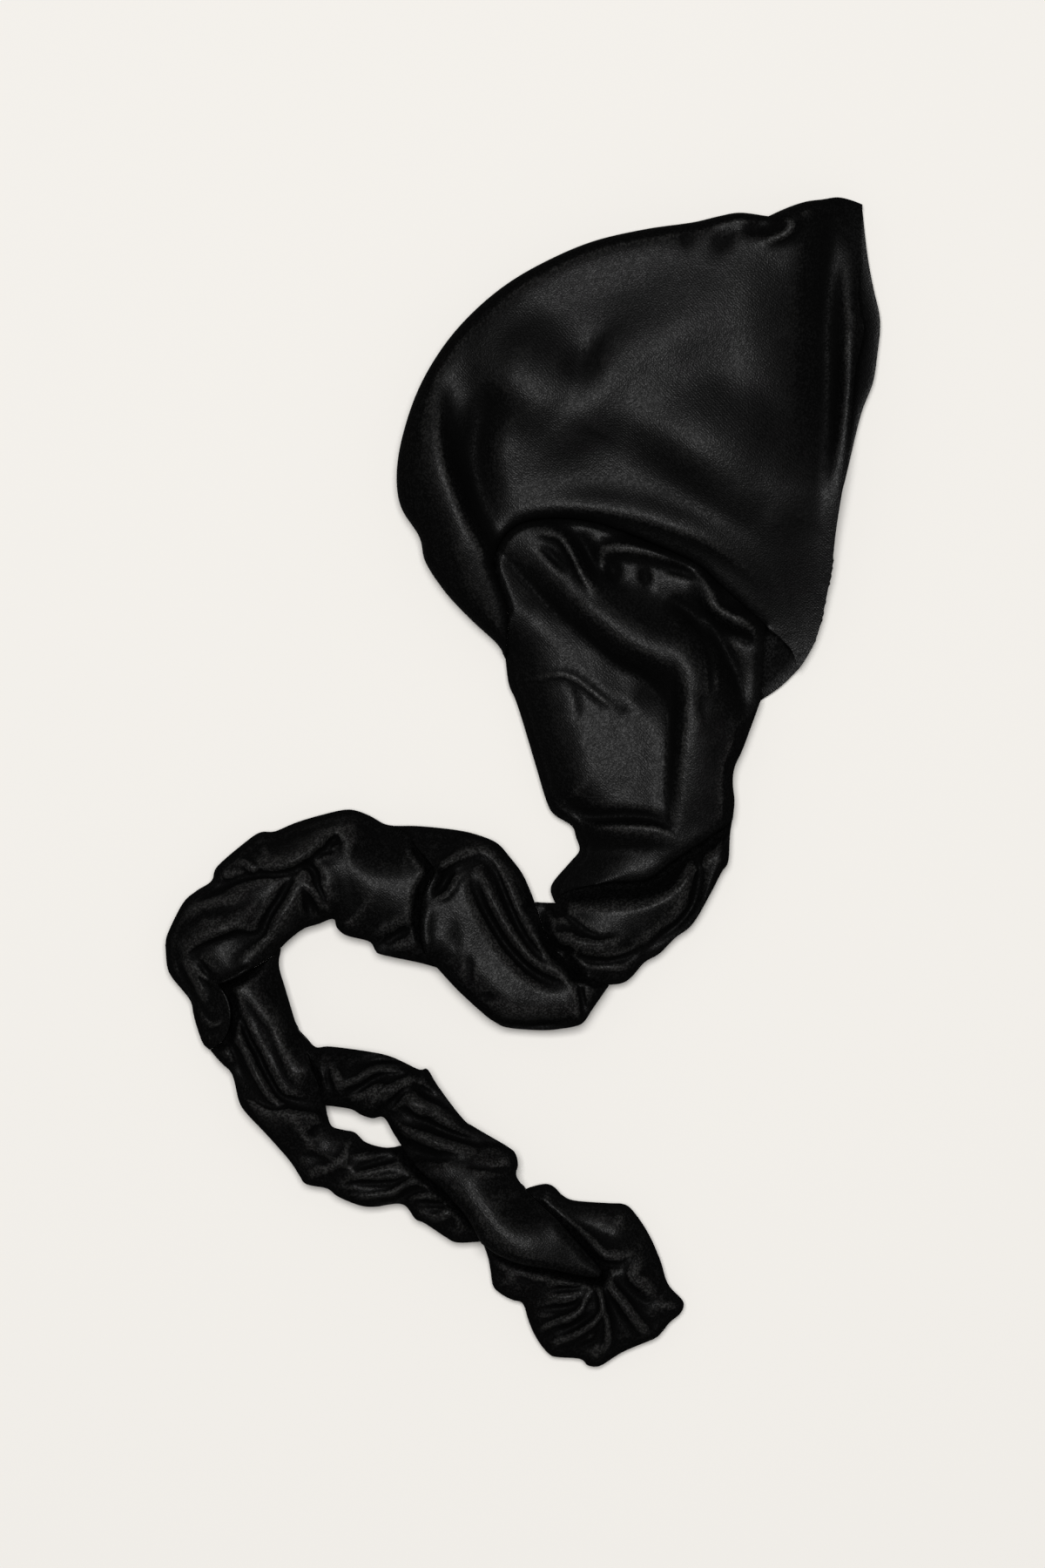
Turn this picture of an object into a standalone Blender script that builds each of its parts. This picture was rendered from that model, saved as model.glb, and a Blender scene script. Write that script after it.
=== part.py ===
# Turban headwrap of black velvet, laid flat on its side: a hood of two side panels with a
# long gathered tail that twists, bends back on itself as a loop and ends in a gathered fan.
# Every cloth piece has a plan outline made of named lines, which it shares with its
# neighbours, a height over the ground, and folds that run over it.
# Metres, +Z up, +X towards the face opening, +Y towards the crown.

import bpy
import math
import numpy as np
from mathutils import Vector
from mathutils.geometry import delaunay_2d_cdt

# Hood
HOOD_DEPTH = 0.250        # back of the crown to the rim at ear level
HOOD_HEIGHT = 0.250       # nape, where the tail leaves, to the top of the crown
HOOD_PUFF = 0.038         # height of the near side over the ground
CLOTH = 0.002             # wall of the two side panels
SEAM_HEIGHT = 0.007       # the crown seam over the ground
SEAM_TURN = 0.009         # radius of the far side's turned up edge
CROWN_ROUND = 0.012       # radius of the near side's edge at the seam
CROWN_DOME = 0.085        # how far in from the edge the near side keeps rising
CROWN_SHARE = 0.55        # share of the puff that the near side has just inside its round edge
MOUTH = 0.014             # slit between the two rims in the middle of the face opening

# Tail
TAIL_WIDTH = 0.250        # middle of the neck to the far bend, sideways
TAIL_LENGTH = 0.250         # nape to where the loop turns back
NECK_THICKNESS = 0.026
TURN_THICKNESS = 0.030
TWIST_THICKNESS = 0.036
BEND_THICKNESS = 0.036
DROP_THICKNESS = 0.033
RETURN_THICKNESS = 0.038
END_THICKNESS = 0.028
EDGE_ROUND = 0.011        # radius of the tail's free edges
LIP_ROUND = 0.005         # radius of a fold's edge that lies over its neighbour
TUCK_ROUND = 0.008        # radius where cloth dips below a neighbour's edge
UNDERCUT = 0.0025         # how far the tail's sides draw in where they meet the ground

JOIN_GAP = 0.0003         # gap between two pieces that meet
NECK_ACROSS = 0.47        # middle of the tail's neck, share of HOOD_DEPTH

# Mesh steps
TAIL_CELL = 0.0072
NEAR_CELL = 0.0100
FAR_CELL = 0.0160
CURVE_STEPS = 6

# Outline lines of the hood: (across, up), shares of HOOD_DEPTH and HOOD_HEIGHT.
HOOD_LINES = {
    "peak_edge": [
        (1.072, 0.984), (1.046, 0.994), (1.014, 1.000), (0.978, 0.994), (0.940, 0.988),
        (0.898, 0.974), (0.854, 0.954)],
    "crown_edge": [
        (0.854, 0.954), (0.790, 0.962), (0.740, 0.954), (0.680, 0.940), (0.570, 0.924),
        (0.450, 0.896), (0.342, 0.850), (0.250, 0.796), (0.170, 0.728), (0.104, 0.650),
        (0.050, 0.556), (0.014, 0.450), (0.000, 0.360), (0.010, 0.286), (0.052, 0.218),
        (0.066, 0.160), (0.112, 0.090), (0.172, 0.026), (0.232, -0.030), (0.250, -0.064)],
    "lobe_side": [
        (0.250, -0.064), (0.254, -0.020), (0.256, 0.026), (0.250, 0.070), (0.222, 0.150)],
    "arc_edge": [
        (0.222, 0.150), (0.234, 0.194), (0.262, 0.232), (0.302, 0.252), (0.370, 0.258),
        (0.450, 0.250), (0.524, 0.226), (0.602, 0.194), (0.688, 0.154), (0.746, 0.102),
        (0.804, 0.050), (0.846, 0.014)],
    "nape_lip": [(0.846, 0.014), (0.880, -0.016), (0.908, -0.046), (0.922, -0.090)],
    "near_rim": [
        (0.922, -0.090), (0.948, -0.050), (0.972, 0.010), (0.996, 0.130), (1.006, 0.220),
        (1.016, 0.290), (1.028, 0.360), (1.038, 0.430), (1.044, 0.510), (1.052, 0.600),
        (1.064, 0.650), (1.072, 0.690), (1.064, 0.734), (1.060, 0.780), (1.066, 0.850),
        (1.068, 0.930), (1.072, 0.984)],
    "far_rim": [
        (1.072, 0.984), (1.078, 0.914), (1.086, 0.850), (1.098, 0.786), (1.110, 0.734),
        (1.112, 0.694), (1.106, 0.640), (1.096, 0.574), (1.074, 0.518), (1.060, 0.470),
        (1.032, 0.350), (1.012, 0.270), (0.996, 0.150), (0.978, 0.050), (0.954, -0.026),
        (0.922, -0.090)],
    "neck_shoulder": [(0.846, 0.014), (0.844, -0.020), (0.842, -0.070), (0.836, -0.160)],
    "nape_edge": [(0.836, -0.160), (0.864, -0.142), (0.890, -0.122), (0.922, -0.090)],
}

# Outline lines of the tail: (across, down), shares of TAIL_WIDTH and TAIL_LENGTH.
TAIL_LINES = {
    "neck_left": [
        (0.780, 0.064), (0.788, 0.122), (0.804, 0.160), (0.822, 0.216), (0.850, 0.310),
        (0.874, 0.390), (0.892, 0.422), (0.932, 0.448), (0.942, 0.474), (0.950, 0.504),
        (0.930, 0.530), (0.892, 0.574), (0.884, 0.598), (0.894, 0.626)],
    "neck_foot": [
        (0.894, 0.626), (0.906, 0.610), (0.924, 0.598), (0.956, 0.588), (1.020, 0.578),
        (1.104, 0.572), (1.164, 0.530), (1.222, 0.492), (1.276, 0.454), (1.302, 0.434)],
    "neck_right": [
        (1.302, 0.434), (1.306, 0.390), (1.302, 0.350), (1.306, 0.314), (1.324, 0.274),
        (1.342, 0.226), (1.366, 0.160)],
    "turn_right": [
        (1.302, 0.434), (1.296, 0.470), (1.292, 0.530), (1.276, 0.556), (1.250, 0.606),
        (1.210, 0.674), (1.170, 0.706), (1.134, 0.742), (1.100, 0.762), (1.070, 0.796),
        (1.048, 0.810), (1.018, 0.814)],
    "turn_foot": [(1.018, 0.814), (0.996, 0.808), (0.972, 0.794), (0.944, 0.786)],
    "turn_left": [
        (0.944, 0.786), (0.920, 0.758), (0.896, 0.734), (0.874, 0.700), (0.860, 0.660),
        (0.848, 0.624)],
    "turn_top": [(0.848, 0.624), (0.872, 0.624), (0.894, 0.626)],
    "twist_top": [
        (0.848, 0.624), (0.840, 0.602), (0.820, 0.558), (0.790, 0.518), (0.760, 0.486),
        (0.710, 0.466), (0.660, 0.456), (0.580, 0.448), (0.524, 0.448)],
    "twist_side": [
        (0.524, 0.448), (0.552, 0.464), (0.576, 0.494), (0.616, 0.548), (0.594, 0.600),
        (0.586, 0.646), (0.586, 0.694), (0.598, 0.740), (0.624, 0.774)],
    "twist_foot": [
        (0.624, 0.774), (0.670, 0.824), (0.724, 0.874), (0.752, 0.896), (0.786, 0.912),
        (0.864, 0.918), (0.910, 0.914), (0.948, 0.906), (0.964, 0.894), (0.978, 0.872),
        (1.018, 0.814)],
    "bend_top": [
        (0.524, 0.448), (0.500, 0.442), (0.464, 0.422), (0.420, 0.410), (0.360, 0.422),
        (0.300, 0.440), (0.252, 0.460), (0.220, 0.462), (0.190, 0.480), (0.120, 0.540),
        (0.106, 0.574), (0.070, 0.598), (0.040, 0.626), (0.006, 0.694), (0.000, 0.722)],
    "bend_outer": [
        (0.000, 0.722), (0.004, 0.770), (0.016, 0.798), (0.056, 0.848), (0.064, 0.880),
        (0.072, 0.910), (0.086, 0.948), (0.102, 0.964)],
    "bend_tip": [
        (0.102, 0.964), (0.132, 0.942), (0.148, 0.914), (0.154, 0.874), (0.146, 0.842),
        (0.124, 0.810)],
    "bend_lip": [(0.124, 0.810), (0.152, 0.802), (0.180, 0.788), (0.240, 0.752), (0.264, 0.730)],
    "bend_foot": [
        (0.264, 0.730), (0.292, 0.704), (0.320, 0.684), (0.352, 0.674), (0.386, 0.662),
        (0.394, 0.682), (0.416, 0.700), (0.468, 0.714), (0.482, 0.734), (0.496, 0.744),
        (0.580, 0.762), (0.624, 0.774)],
    "drop_right": [(0.264, 0.730), (0.262, 0.770), (0.276, 0.820), (0.306, 0.920)],
    "drop_side": [(0.306, 0.920), (0.324, 0.960), (0.344, 1.014), (0.366, 1.090)],
    "drop_inner": [
        (0.366, 1.090), (0.374, 1.116), (0.384, 1.138), (0.410, 1.146), (0.436, 1.152),
        (0.460, 1.174), (0.500, 1.186), (0.544, 1.186)],
    "under_side": [
        (0.544, 1.186), (0.570, 1.220), (0.600, 1.250), (0.630, 1.274), (0.660, 1.306),
        (0.690, 1.340), (0.726, 1.404)],
    "drop_foot": [
        (0.726, 1.404), (0.670, 1.406), (0.644, 1.394), (0.596, 1.362), (0.574, 1.352),
        (0.544, 1.318), (0.480, 1.324), (0.444, 1.320), (0.396, 1.300), (0.372, 1.282),
        (0.324, 1.272), (0.308, 1.252), (0.284, 1.216), (0.226, 1.150), (0.190, 1.112),
        (0.170, 1.082), (0.154, 1.020), (0.130, 0.994), (0.102, 0.964)],
    "return_top": [
        (0.306, 0.920), (0.324, 0.938), (0.346, 0.956), (0.380, 0.954), (0.470, 0.966),
        (0.520, 0.978), (0.582, 1.006), (0.602, 1.006), (0.626, 1.044), (0.682, 1.118),
        (0.712, 1.140), (0.786, 1.184), (0.804, 1.200), (0.810, 1.226), (0.806, 1.250),
        (0.828, 1.286)],
    "return_side": [
        (0.828, 1.286), (0.860, 1.316), (0.900, 1.352), (0.940, 1.396), (0.970, 1.430),
        (1.000, 1.466), (0.992, 1.484)],
    "return_foot": [
        (0.992, 1.484), (0.944, 1.476), (0.884, 1.462), (0.816, 1.450), (0.764, 1.430),
        (0.726, 1.404)],
    "loop_inner": [
        (0.544, 1.186), (0.524, 1.154), (0.502, 1.118), (0.476, 1.120), (0.450, 1.112),
        (0.430, 1.100), (0.400, 1.094), (0.366, 1.090)],
    "end_right": [
        (0.828, 1.286), (0.850, 1.276), (0.876, 1.272), (0.894, 1.280), (0.912, 1.298),
        (0.940, 1.310), (1.020, 1.316), (1.050, 1.318), (1.072, 1.332), (1.108, 1.384),
        (1.136, 1.446), (1.154, 1.502), (1.186, 1.538), (1.190, 1.556), (1.180, 1.574),
        (1.158, 1.592), (1.140, 1.614), (1.120, 1.630), (1.050, 1.660), (1.002, 1.690),
        (0.984, 1.694)],
    "end_left": [
        (0.984, 1.694), (0.968, 1.690), (0.952, 1.676), (0.900, 1.672), (0.882, 1.666),
        (0.862, 1.644), (0.844, 1.614), (0.832, 1.584), (0.820, 1.548), (0.796, 1.540),
        (0.770, 1.526), (0.752, 1.508), (0.746, 1.474), (0.740, 1.442), (0.726, 1.404)],
}

# Lines where the two side panels are sewn together.
SEWN_LINES = ("crown_edge", "lobe_side", "arc_edge", "peak_edge")

# Edges of a tail piece: (rounding radius, share of the height that is left at the edge).
EDGES = {
    "free": (EDGE_ROUND, 0.26),
    "lip": (LIP_ROUND, 0.62),
    "tuck": (TUCK_ROUND, 0.50),
}

# Tail pieces: outline as (line, direction, edge), and thickness.
TAIL_PIECES = {
    "tail_neck": (NECK_THICKNESS, [
        ("lobe_side", 1, "tuck"), ("arc_edge", 1, "tuck"), ("neck_shoulder", 1, "free"),
        ("neck_right", -1, "free"), ("neck_foot", -1, "lip"), ("neck_left", -1, "free")]),
    "tail_turn": (TURN_THICKNESS, [
        ("neck_foot", 1, "tuck"), ("turn_right", 1, "free"), ("turn_foot", 1, "lip"),
        ("turn_left", 1, "tuck"), ("turn_top", 1, "free")]),
    "tail_twist": (TWIST_THICKNESS, [
        ("turn_left", -1, "lip"), ("turn_foot", -1, "tuck"), ("twist_foot", -1, "free"),
        ("twist_side", -1, "lip"), ("twist_top", -1, "free")]),
    "tail_bend": (BEND_THICKNESS, [
        ("twist_side", 1, "tuck"), ("bend_foot", -1, "free"), ("bend_lip", -1, "lip"),
        ("bend_tip", -1, "lip"), ("bend_outer", -1, "free"), ("bend_top", -1, "free")]),
    "tail_drop": (DROP_THICKNESS, [
        ("bend_lip", 1, "tuck"), ("drop_right", 1, "free"), ("drop_side", 1, "lip"),
        ("drop_inner", 1, "free"), ("under_side", 1, "tuck"), ("drop_foot", 1, "free"),
        ("bend_tip", 1, "tuck")]),
    "tail_return": (RETURN_THICKNESS, [
        ("drop_side", -1, "tuck"), ("return_top", 1, "free"), ("return_side", 1, "lip"),
        ("return_foot", 1, "lip"), ("under_side", -1, "lip"), ("loop_inner", 1, "free")]),
    "tail_end": (END_THICKNESS, [
        ("return_side", -1, "tuck"), ("end_right", 1, "free"), ("end_left", 1, "free"),
        ("return_foot", -1, "tuck")]),
}

# Folds of the near side: rise as a share of HOOD_PUFF, widths of its left and right flank
# as shares of HOOD_DEPTH, and a route (across, up) in shares as above.
HOOD_FOLDS = [
    # rise, left, right, route
    (0.22, 0.10, 0.10, [(0.36, 0.34), (0.47, 0.51), (0.55, 0.63), (0.69, 0.71), (0.89, 0.91)]),
    (-0.30, 0.09, 0.05, [(0.18, 0.52), (0.17, 0.40), (0.20, 0.25), (0.28, 0.06)]),
    (0.16, 0.03, 0.05, [(0.09, 0.50), (0.11, 0.36), (0.16, 0.20), (0.25, 0.03)]),
    (-0.22, 0.05, 0.07, [(0.37, 0.66), (0.40, 0.58), (0.43, 0.52)]),
    (-0.30, 0.09, 0.06, [(0.95, 0.88), (0.93, 0.70), (0.92, 0.54), (0.95, 0.40)]),
    (-0.22, 0.07, 0.05, [(0.50, 0.50), (0.64, 0.42), (0.79, 0.34)]),
    (0.14, 0.05, 0.02, [(0.27, 0.28), (0.37, 0.285), (0.49, 0.275), (0.66, 0.21), (0.83, 0.06)]),
    (0.18, 0.03, 0.03, [(0.20, 0.62), (0.29, 0.58), (0.37, 0.52)]),
    (-0.22, 0.02, 0.03, [(0.80, 0.915), (0.86, 0.92), (0.90, 0.93)]),
]

# Folds of the tail: piece, rise as a share of its thickness, widths of the left and right
# flank as shares of TAIL_WIDTH, and a route (across, down) in shares as above.
TAIL_FOLDS = [
    ("tail_neck", 0.34, 0.030, 0.100, [
        (0.86, -0.19), (0.95, -0.08), (1.06, -0.01), (1.17, 0.05), (1.20, 0.13), (1.18, 0.36)]),
    ("tail_neck", -0.30, 0.040, 0.050, [
        (0.79, -0.15), (0.87, -0.07), (1.00, 0.02), (1.13, 0.09), (1.13, 0.20), (1.05, 0.36)]),
    ("tail_neck", 0.24, 0.035, 0.045, [
        (1.02, -0.19), (1.16, -0.16), (1.23, -0.09), (1.28, -0.03), (1.36, 0.00)]),
    ("tail_neck", -0.24, 0.030, 0.040, [(1.21, -0.06), (1.25, 0.03), (1.30, 0.15)]),
    ("tail_neck", 0.16, 0.030, 0.060, [(0.96, 0.43), (1.06, 0.445), (1.16, 0.475)]),
    ("tail_neck", -0.22, 0.030, 0.030, [(0.89, 0.38), (0.98, 0.42), (1.12, 0.43)]),
    ("tail_turn", 0.30, 0.070, 0.030, [(1.23, 0.51), (1.21, 0.61), (1.12, 0.73), (0.98, 0.77)]),
    ("tail_turn", -0.30, 0.030, 0.030, [(1.25, 0.50), (1.22, 0.63), (1.15, 0.72)]),
    ("tail_turn", 0.22, 0.020, 0.040, [(0.89, 0.72), (0.94, 0.71), (1.05, 0.73)]),
    ("tail_turn", -0.20, 0.030, 0.030, [(0.90, 0.64), (0.97, 0.70), (1.03, 0.71)]),
    ("tail_twist", 0.16, 0.050, 0.050, [
        (0.64, 0.56), (0.71, 0.51), (0.77, 0.54), (0.83, 0.66), (0.89, 0.75)]),
    ("tail_twist", -0.24, 0.040, 0.040, [(0.70, 0.57), (0.75, 0.66), (0.85, 0.79)]),
    ("tail_twist", -0.20, 0.020, 0.020, [(0.62, 0.60), (0.66, 0.55)]),
    ("tail_twist", 0.14, 0.060, 0.020, [(0.72, 0.86), (0.85, 0.88), (0.95, 0.86)]),
    ("tail_bend", 0.26, 0.030, 0.060, [
        (0.02, 0.69), (0.09, 0.62), (0.19, 0.58), (0.30, 0.54), (0.39, 0.465)]),
    ("tail_bend", -0.26, 0.030, 0.030, [(0.08, 0.61), (0.20, 0.585), (0.32, 0.55)]),
    ("tail_bend", -0.34, 0.040, 0.040, [(0.07, 0.74), (0.14, 0.73), (0.21, 0.70)]),
    ("tail_bend", 0.24, 0.025, 0.040, [(0.05, 0.75), (0.11, 0.69), (0.19, 0.69), (0.31, 0.58)]),
    ("tail_bend", 0.16, 0.030, 0.030, [(0.32, 0.58), (0.35, 0.61), (0.38, 0.65)]),
    ("tail_bend", -0.20, 0.030, 0.030, [(0.49, 0.74), (0.52, 0.70), (0.58, 0.68)]),
    ("tail_drop", 0.26, 0.030, 0.040, [(0.20, 0.81), (0.26, 0.91), (0.30, 1.00), (0.33, 1.06)]),
    ("tail_drop", -0.24, 0.025, 0.025, [(0.17, 0.85), (0.21, 0.98), (0.28, 1.09)]),
    ("tail_drop", 0.20, 0.025, 0.025, [(0.16, 1.07), (0.24, 1.10), (0.35, 1.12), (0.38, 1.14)]),
    ("tail_drop", -0.26, 0.035, 0.035, [(0.32, 1.20), (0.40, 1.20), (0.46, 1.22)]),
    ("tail_drop", 0.18, 0.020, 0.025, [(0.41, 1.25), (0.48, 1.235), (0.56, 1.23)]),
    ("tail_drop", 0.18, 0.020, 0.020, [(0.46, 1.295), (0.53, 1.285), (0.60, 1.26)]),
    ("tail_return", 0.20, 0.025, 0.040, [(0.42, 1.04), (0.52, 1.00), (0.59, 1.01)]),
    ("tail_return", -0.20, 0.025, 0.025, [(0.44, 1.06), (0.49, 1.02), (0.57, 1.00)]),
    ("tail_return", 0.20, 0.025, 0.030, [(0.51, 1.12), (0.60, 1.16), (0.76, 1.21)]),
    ("tail_return", -0.22, 0.025, 0.025, [(0.52, 1.10), (0.64, 1.15), (0.80, 1.195)]),
    ("tail_return", 0.18, 0.050, 0.040, [(0.66, 1.22), (0.73, 1.29), (0.82, 1.42), (0.98, 1.48)]),
    ("tail_end", -0.34, 0.050, 0.050, [(0.93, 1.33), (1.03, 1.36), (1.10, 1.40)]),
    ("tail_end", 0.26, 0.030, 0.030, [(0.94, 1.39), (1.01, 1.44), (1.08, 1.42)]),
    ("tail_end", 0.26, 0.030, 0.030, [(1.01, 1.49), (1.06, 1.55), (1.12, 1.62)]),
    ("tail_end", -0.30, 0.040, 0.040, [(1.01, 1.52), (1.04, 1.59), (1.05, 1.65)]),
    ("tail_end", 0.24, 0.025, 0.025, [(0.99, 1.50), (1.01, 1.58), (0.99, 1.67)]),
    ("tail_end", -0.24, 0.025, 0.025, [(0.97, 1.50), (0.96, 1.59), (0.92, 1.65)]),
    ("tail_end", 0.24, 0.025, 0.025, [(0.96, 1.52), (0.93, 1.58), (0.86, 1.62)]),
    ("tail_end", -0.28, 0.035, 0.035, [(0.92, 1.49), (0.84, 1.50), (0.77, 1.49)]),
]
FOLD_TAPER = 0.28         # share of a fold's length over which it rises at each end

VELVET = (0.012, 0.012, 0.013, 1.0)
VELVET_ROUGHNESS = 0.45


def clear_scene():
    for thing in list(bpy.data.objects):
        bpy.data.objects.remove(thing, do_unlink=True)


def velvet_material():
    material = bpy.data.materials.new("black_velvet")
    material.use_nodes = True
    shader = material.node_tree.nodes["Principled BSDF"]
    shader.inputs["Base Color"].default_value = VELVET
    shader.inputs["Roughness"].default_value = VELVET_ROUGHNESS
    shader.inputs["Metallic"].default_value = 0.0
    return material


def hood_point(across, up):
    return (across * HOOD_DEPTH, up * HOOD_HEIGHT)


def tail_point(across, down):
    return (NECK_ACROSS * HOOD_DEPTH + (across - 1.0) * TAIL_WIDTH, -down * TAIL_LENGTH)


def smooth_curve(points, steps):
    """Points along a Catmull-Rom curve through the given ones."""
    knots = np.array(points, dtype=float)
    knots = np.vstack([2 * knots[0] - knots[1], knots, 2 * knots[-1] - knots[-2]])
    curve = []
    for before, start, end, after in zip(knots, knots[1:], knots[2:], knots[3:]):
        for step in range(steps):
            t = step / steps
            curve.append(0.5 * (2 * start + (end - before) * t
                                + (2 * before - 5 * start + 4 * end - after) * t * t
                                + (3 * start - before - 3 * end + after) * t ** 3))
    curve.append(knots[-2])
    return np.array(curve)


def even_steps(curve, cell):
    """The same curve cut into equal steps of about the cell's length."""
    lengths = np.concatenate([[0.0], np.cumsum(np.linalg.norm(np.diff(curve, axis=0), axis=1))])
    count = max(2, int(round(lengths[-1] / cell)))
    marks = np.linspace(0.0, lengths[-1], count + 1)
    return np.column_stack([np.interp(marks, lengths, curve[:, 0]),
                            np.interp(marks, lengths, curve[:, 1])])


def outline_line(name, cell):
    if name in HOOD_LINES:
        points = [hood_point(*share) for share in HOOD_LINES[name]]
    else:
        points = [tail_point(*share) for share in TAIL_LINES[name]]
    return even_steps(smooth_curve(points, CURVE_STEPS), cell)


def line_distance(points, line):
    """Distance of each point to a polyline, its signed side and its share along the line."""
    starts, steps = line[:-1], np.diff(line, axis=0)
    lengths = np.linalg.norm(steps, axis=1)
    along = np.concatenate([[0.0], np.cumsum(lengths)])
    best = np.full(len(points), np.inf)
    side = np.zeros(len(points))
    share = np.zeros(len(points))
    for start, step, length, passed in zip(starts, steps, lengths, along):
        offset = points - start
        t = np.clip(offset @ step / length ** 2, 0.0, 1.0)
        gap = np.linalg.norm(offset - t[:, None] * step, axis=1)
        nearer = gap < best
        cross = step[0] * offset[:, 1] - step[1] * offset[:, 0]
        best[nearer] = gap[nearer]
        side[nearer] = np.where(cross[nearer] >= 0.0, 1.0, -1.0)
        share[nearer] = (passed + t[nearer] * length) / along[-1]
    return best, side, share


def smooth_step(t):
    t = np.clip(t, 0.0, 1.0)
    return t * t * (3.0 - 2.0 * t)


def fold_rise(points, route, left, right):
    """A ridge of height 1 along the route, with its own width on each side."""
    gap, side, share = line_distance(points, smooth_curve(route, CURVE_STEPS))
    width = np.where(side > 0.0, left, right)
    flank = np.cos(0.5 * math.pi * np.clip(gap / width, 0.0, 1.0)) ** 2
    ends = smooth_step(share / FOLD_TAPER) * smooth_step((1.0 - share) / FOLD_TAPER)
    return flank * ends


def round_edge(gap, radius):
    """A quarter round that is 0 at the edge and 1 from the radius inwards."""
    t = 1.0 - np.clip(gap / radius, 0.0, 1.0)
    return np.sqrt(1.0 - t * t)


def closed_outline(lines, cell):
    """One loop, anticlockwise, drawn in by half the gap to the neighbours."""
    runs = []
    for name, direction in lines:
        runs.append(outline_line(name, cell)[::direction][:-1])
    loop = np.vstack(runs)
    ahead = np.roll(loop, -1, axis=0)
    if np.sum(loop[:, 0] * ahead[:, 1] - ahead[:, 0] * loop[:, 1]) < 0.0:
        loop = loop[::-1]
    return drawn_in(loop, 0.5 * JOIN_GAP)


def drawn_in(loop, distance):
    """The anticlockwise loop moved inwards."""
    ahead = np.roll(loop, -1, axis=0) - loop
    behind = loop - np.roll(loop, 1, axis=0)
    ahead /= np.linalg.norm(ahead, axis=1)[:, None]
    behind /= np.linalg.norm(behind, axis=1)[:, None]
    bisector = ahead + behind
    bisector /= np.linalg.norm(bisector, axis=1)[:, None]
    inward = np.column_stack([-bisector[:, 1], bisector[:, 0]])
    cosine = np.maximum(np.abs(np.sum(inward * np.column_stack([-ahead[:, 1], ahead[:, 0]]), axis=1)), 0.5)
    return loop + inward * (distance / cosine)[:, None]


def inside(points, loop):
    """True for each point within the loop."""
    found = np.zeros(len(points), dtype=bool)
    for start, end in zip(loop, np.roll(loop, -1, axis=0)):
        crosses = (start[1] > points[:, 1]) != (end[1] > points[:, 1])
        rise = end[1] - start[1] if end[1] != start[1] else 1.0
        reach = start[0] + (points[:, 1] - start[1]) * (end[0] - start[0]) / rise
        found ^= crosses & (points[:, 0] < reach)
    return found


def plan_mesh(loop, cell, rings):
    """Triangles over the loop's plan: the loop itself, rings inside it and a grid."""
    border = np.vstack([loop, loop[:1]])
    low, high = loop.min(axis=0), loop.max(axis=0)
    grid = np.array([(x, y)
                     for x in np.arange(low[0], high[0], cell)
                     for y in np.arange(low[1], high[1], cell)])
    grid = grid[inside(grid, loop)]
    clear = rings[-1] + 0.6 * cell
    grid = grid[line_distance(grid, border)[0] > clear]
    chosen = [loop]
    for ring in rings:
        points = drawn_in(loop, ring)
        points = points[inside(points, loop)]
        chosen.append(points[line_distance(points, border)[0] > 0.92 * ring])
    points = np.vstack(chosen + [grid])
    count = len(loop)
    edges = [(i, (i + 1) % count) for i in range(count)]
    plan = delaunay_2d_cdt([Vector(p) for p in points], edges, [], 1, 1e-6)
    return np.array([tuple(v) for v in plan[0]]), [tuple(f) for f in plan[2]], count


def add_object(name, points, faces, collection, material):
    mesh = bpy.data.meshes.new(name)
    mesh.from_pydata([tuple(float(c) for c in p) for p in points], [], faces)
    mesh.materials.append(material)
    mesh.validate()
    body = bpy.data.objects.new(name, mesh)
    collection.objects.link(body)
    return body


def tail_height(name, thickness, sides, points, cell):
    """Height of a tail piece: rounded at its edges, with its folds."""
    height = np.full(len(points), 1.0)
    for fold_piece, rise, left, right, route in TAIL_FOLDS:
        if fold_piece == name:
            path = [tail_point(*share) for share in route]
            height += rise * fold_rise(points, path, left * TAIL_WIDTH, right * TAIL_WIDTH)
    edge = np.full(len(points), 1.0)
    for line, direction, kind in sides:
        radius, left_over = EDGES[kind]
        gap = line_distance(points, outline_line(line, cell))[0]
        edge = np.minimum(edge, left_over + (1.0 - left_over) * round_edge(gap, radius))
    return thickness * height * edge


def tail_piece(name, thickness, sides, collection, material):
    """A wound cloth body: folded top, rounded sides and a flat underside."""
    loop = closed_outline([(line, direction) for line, direction, kind in sides], TAIL_CELL)
    rings = (0.30 * EDGE_ROUND, 0.85 * EDGE_ROUND)
    plan, faces, count = plan_mesh(loop, TAIL_CELL, rings)
    heights = tail_height(name, thickness, sides, plan, TAIL_CELL)
    top = np.column_stack([plan, heights])
    border = top[:count]
    base = np.column_stack([drawn_in(border[:, :2], UNDERCUT), np.zeros(count)])
    first = len(top)
    walls = []
    for i in range(count):
        j = (i + 1) % count
        walls.append((i, first + i, first + j, j))
    ground = tuple(first + i for i in reversed(range(count)))
    return add_object(name, np.vstack([top, base]), faces + walls + [ground], collection, material)


def seam_distance(points, cell):
    """Distance of each point to the sewn edges."""
    gap = np.full(len(points), np.inf)
    for name in SEWN_LINES:
        gap = np.minimum(gap, line_distance(points, outline_line(name, cell))[0])
    return gap


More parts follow.
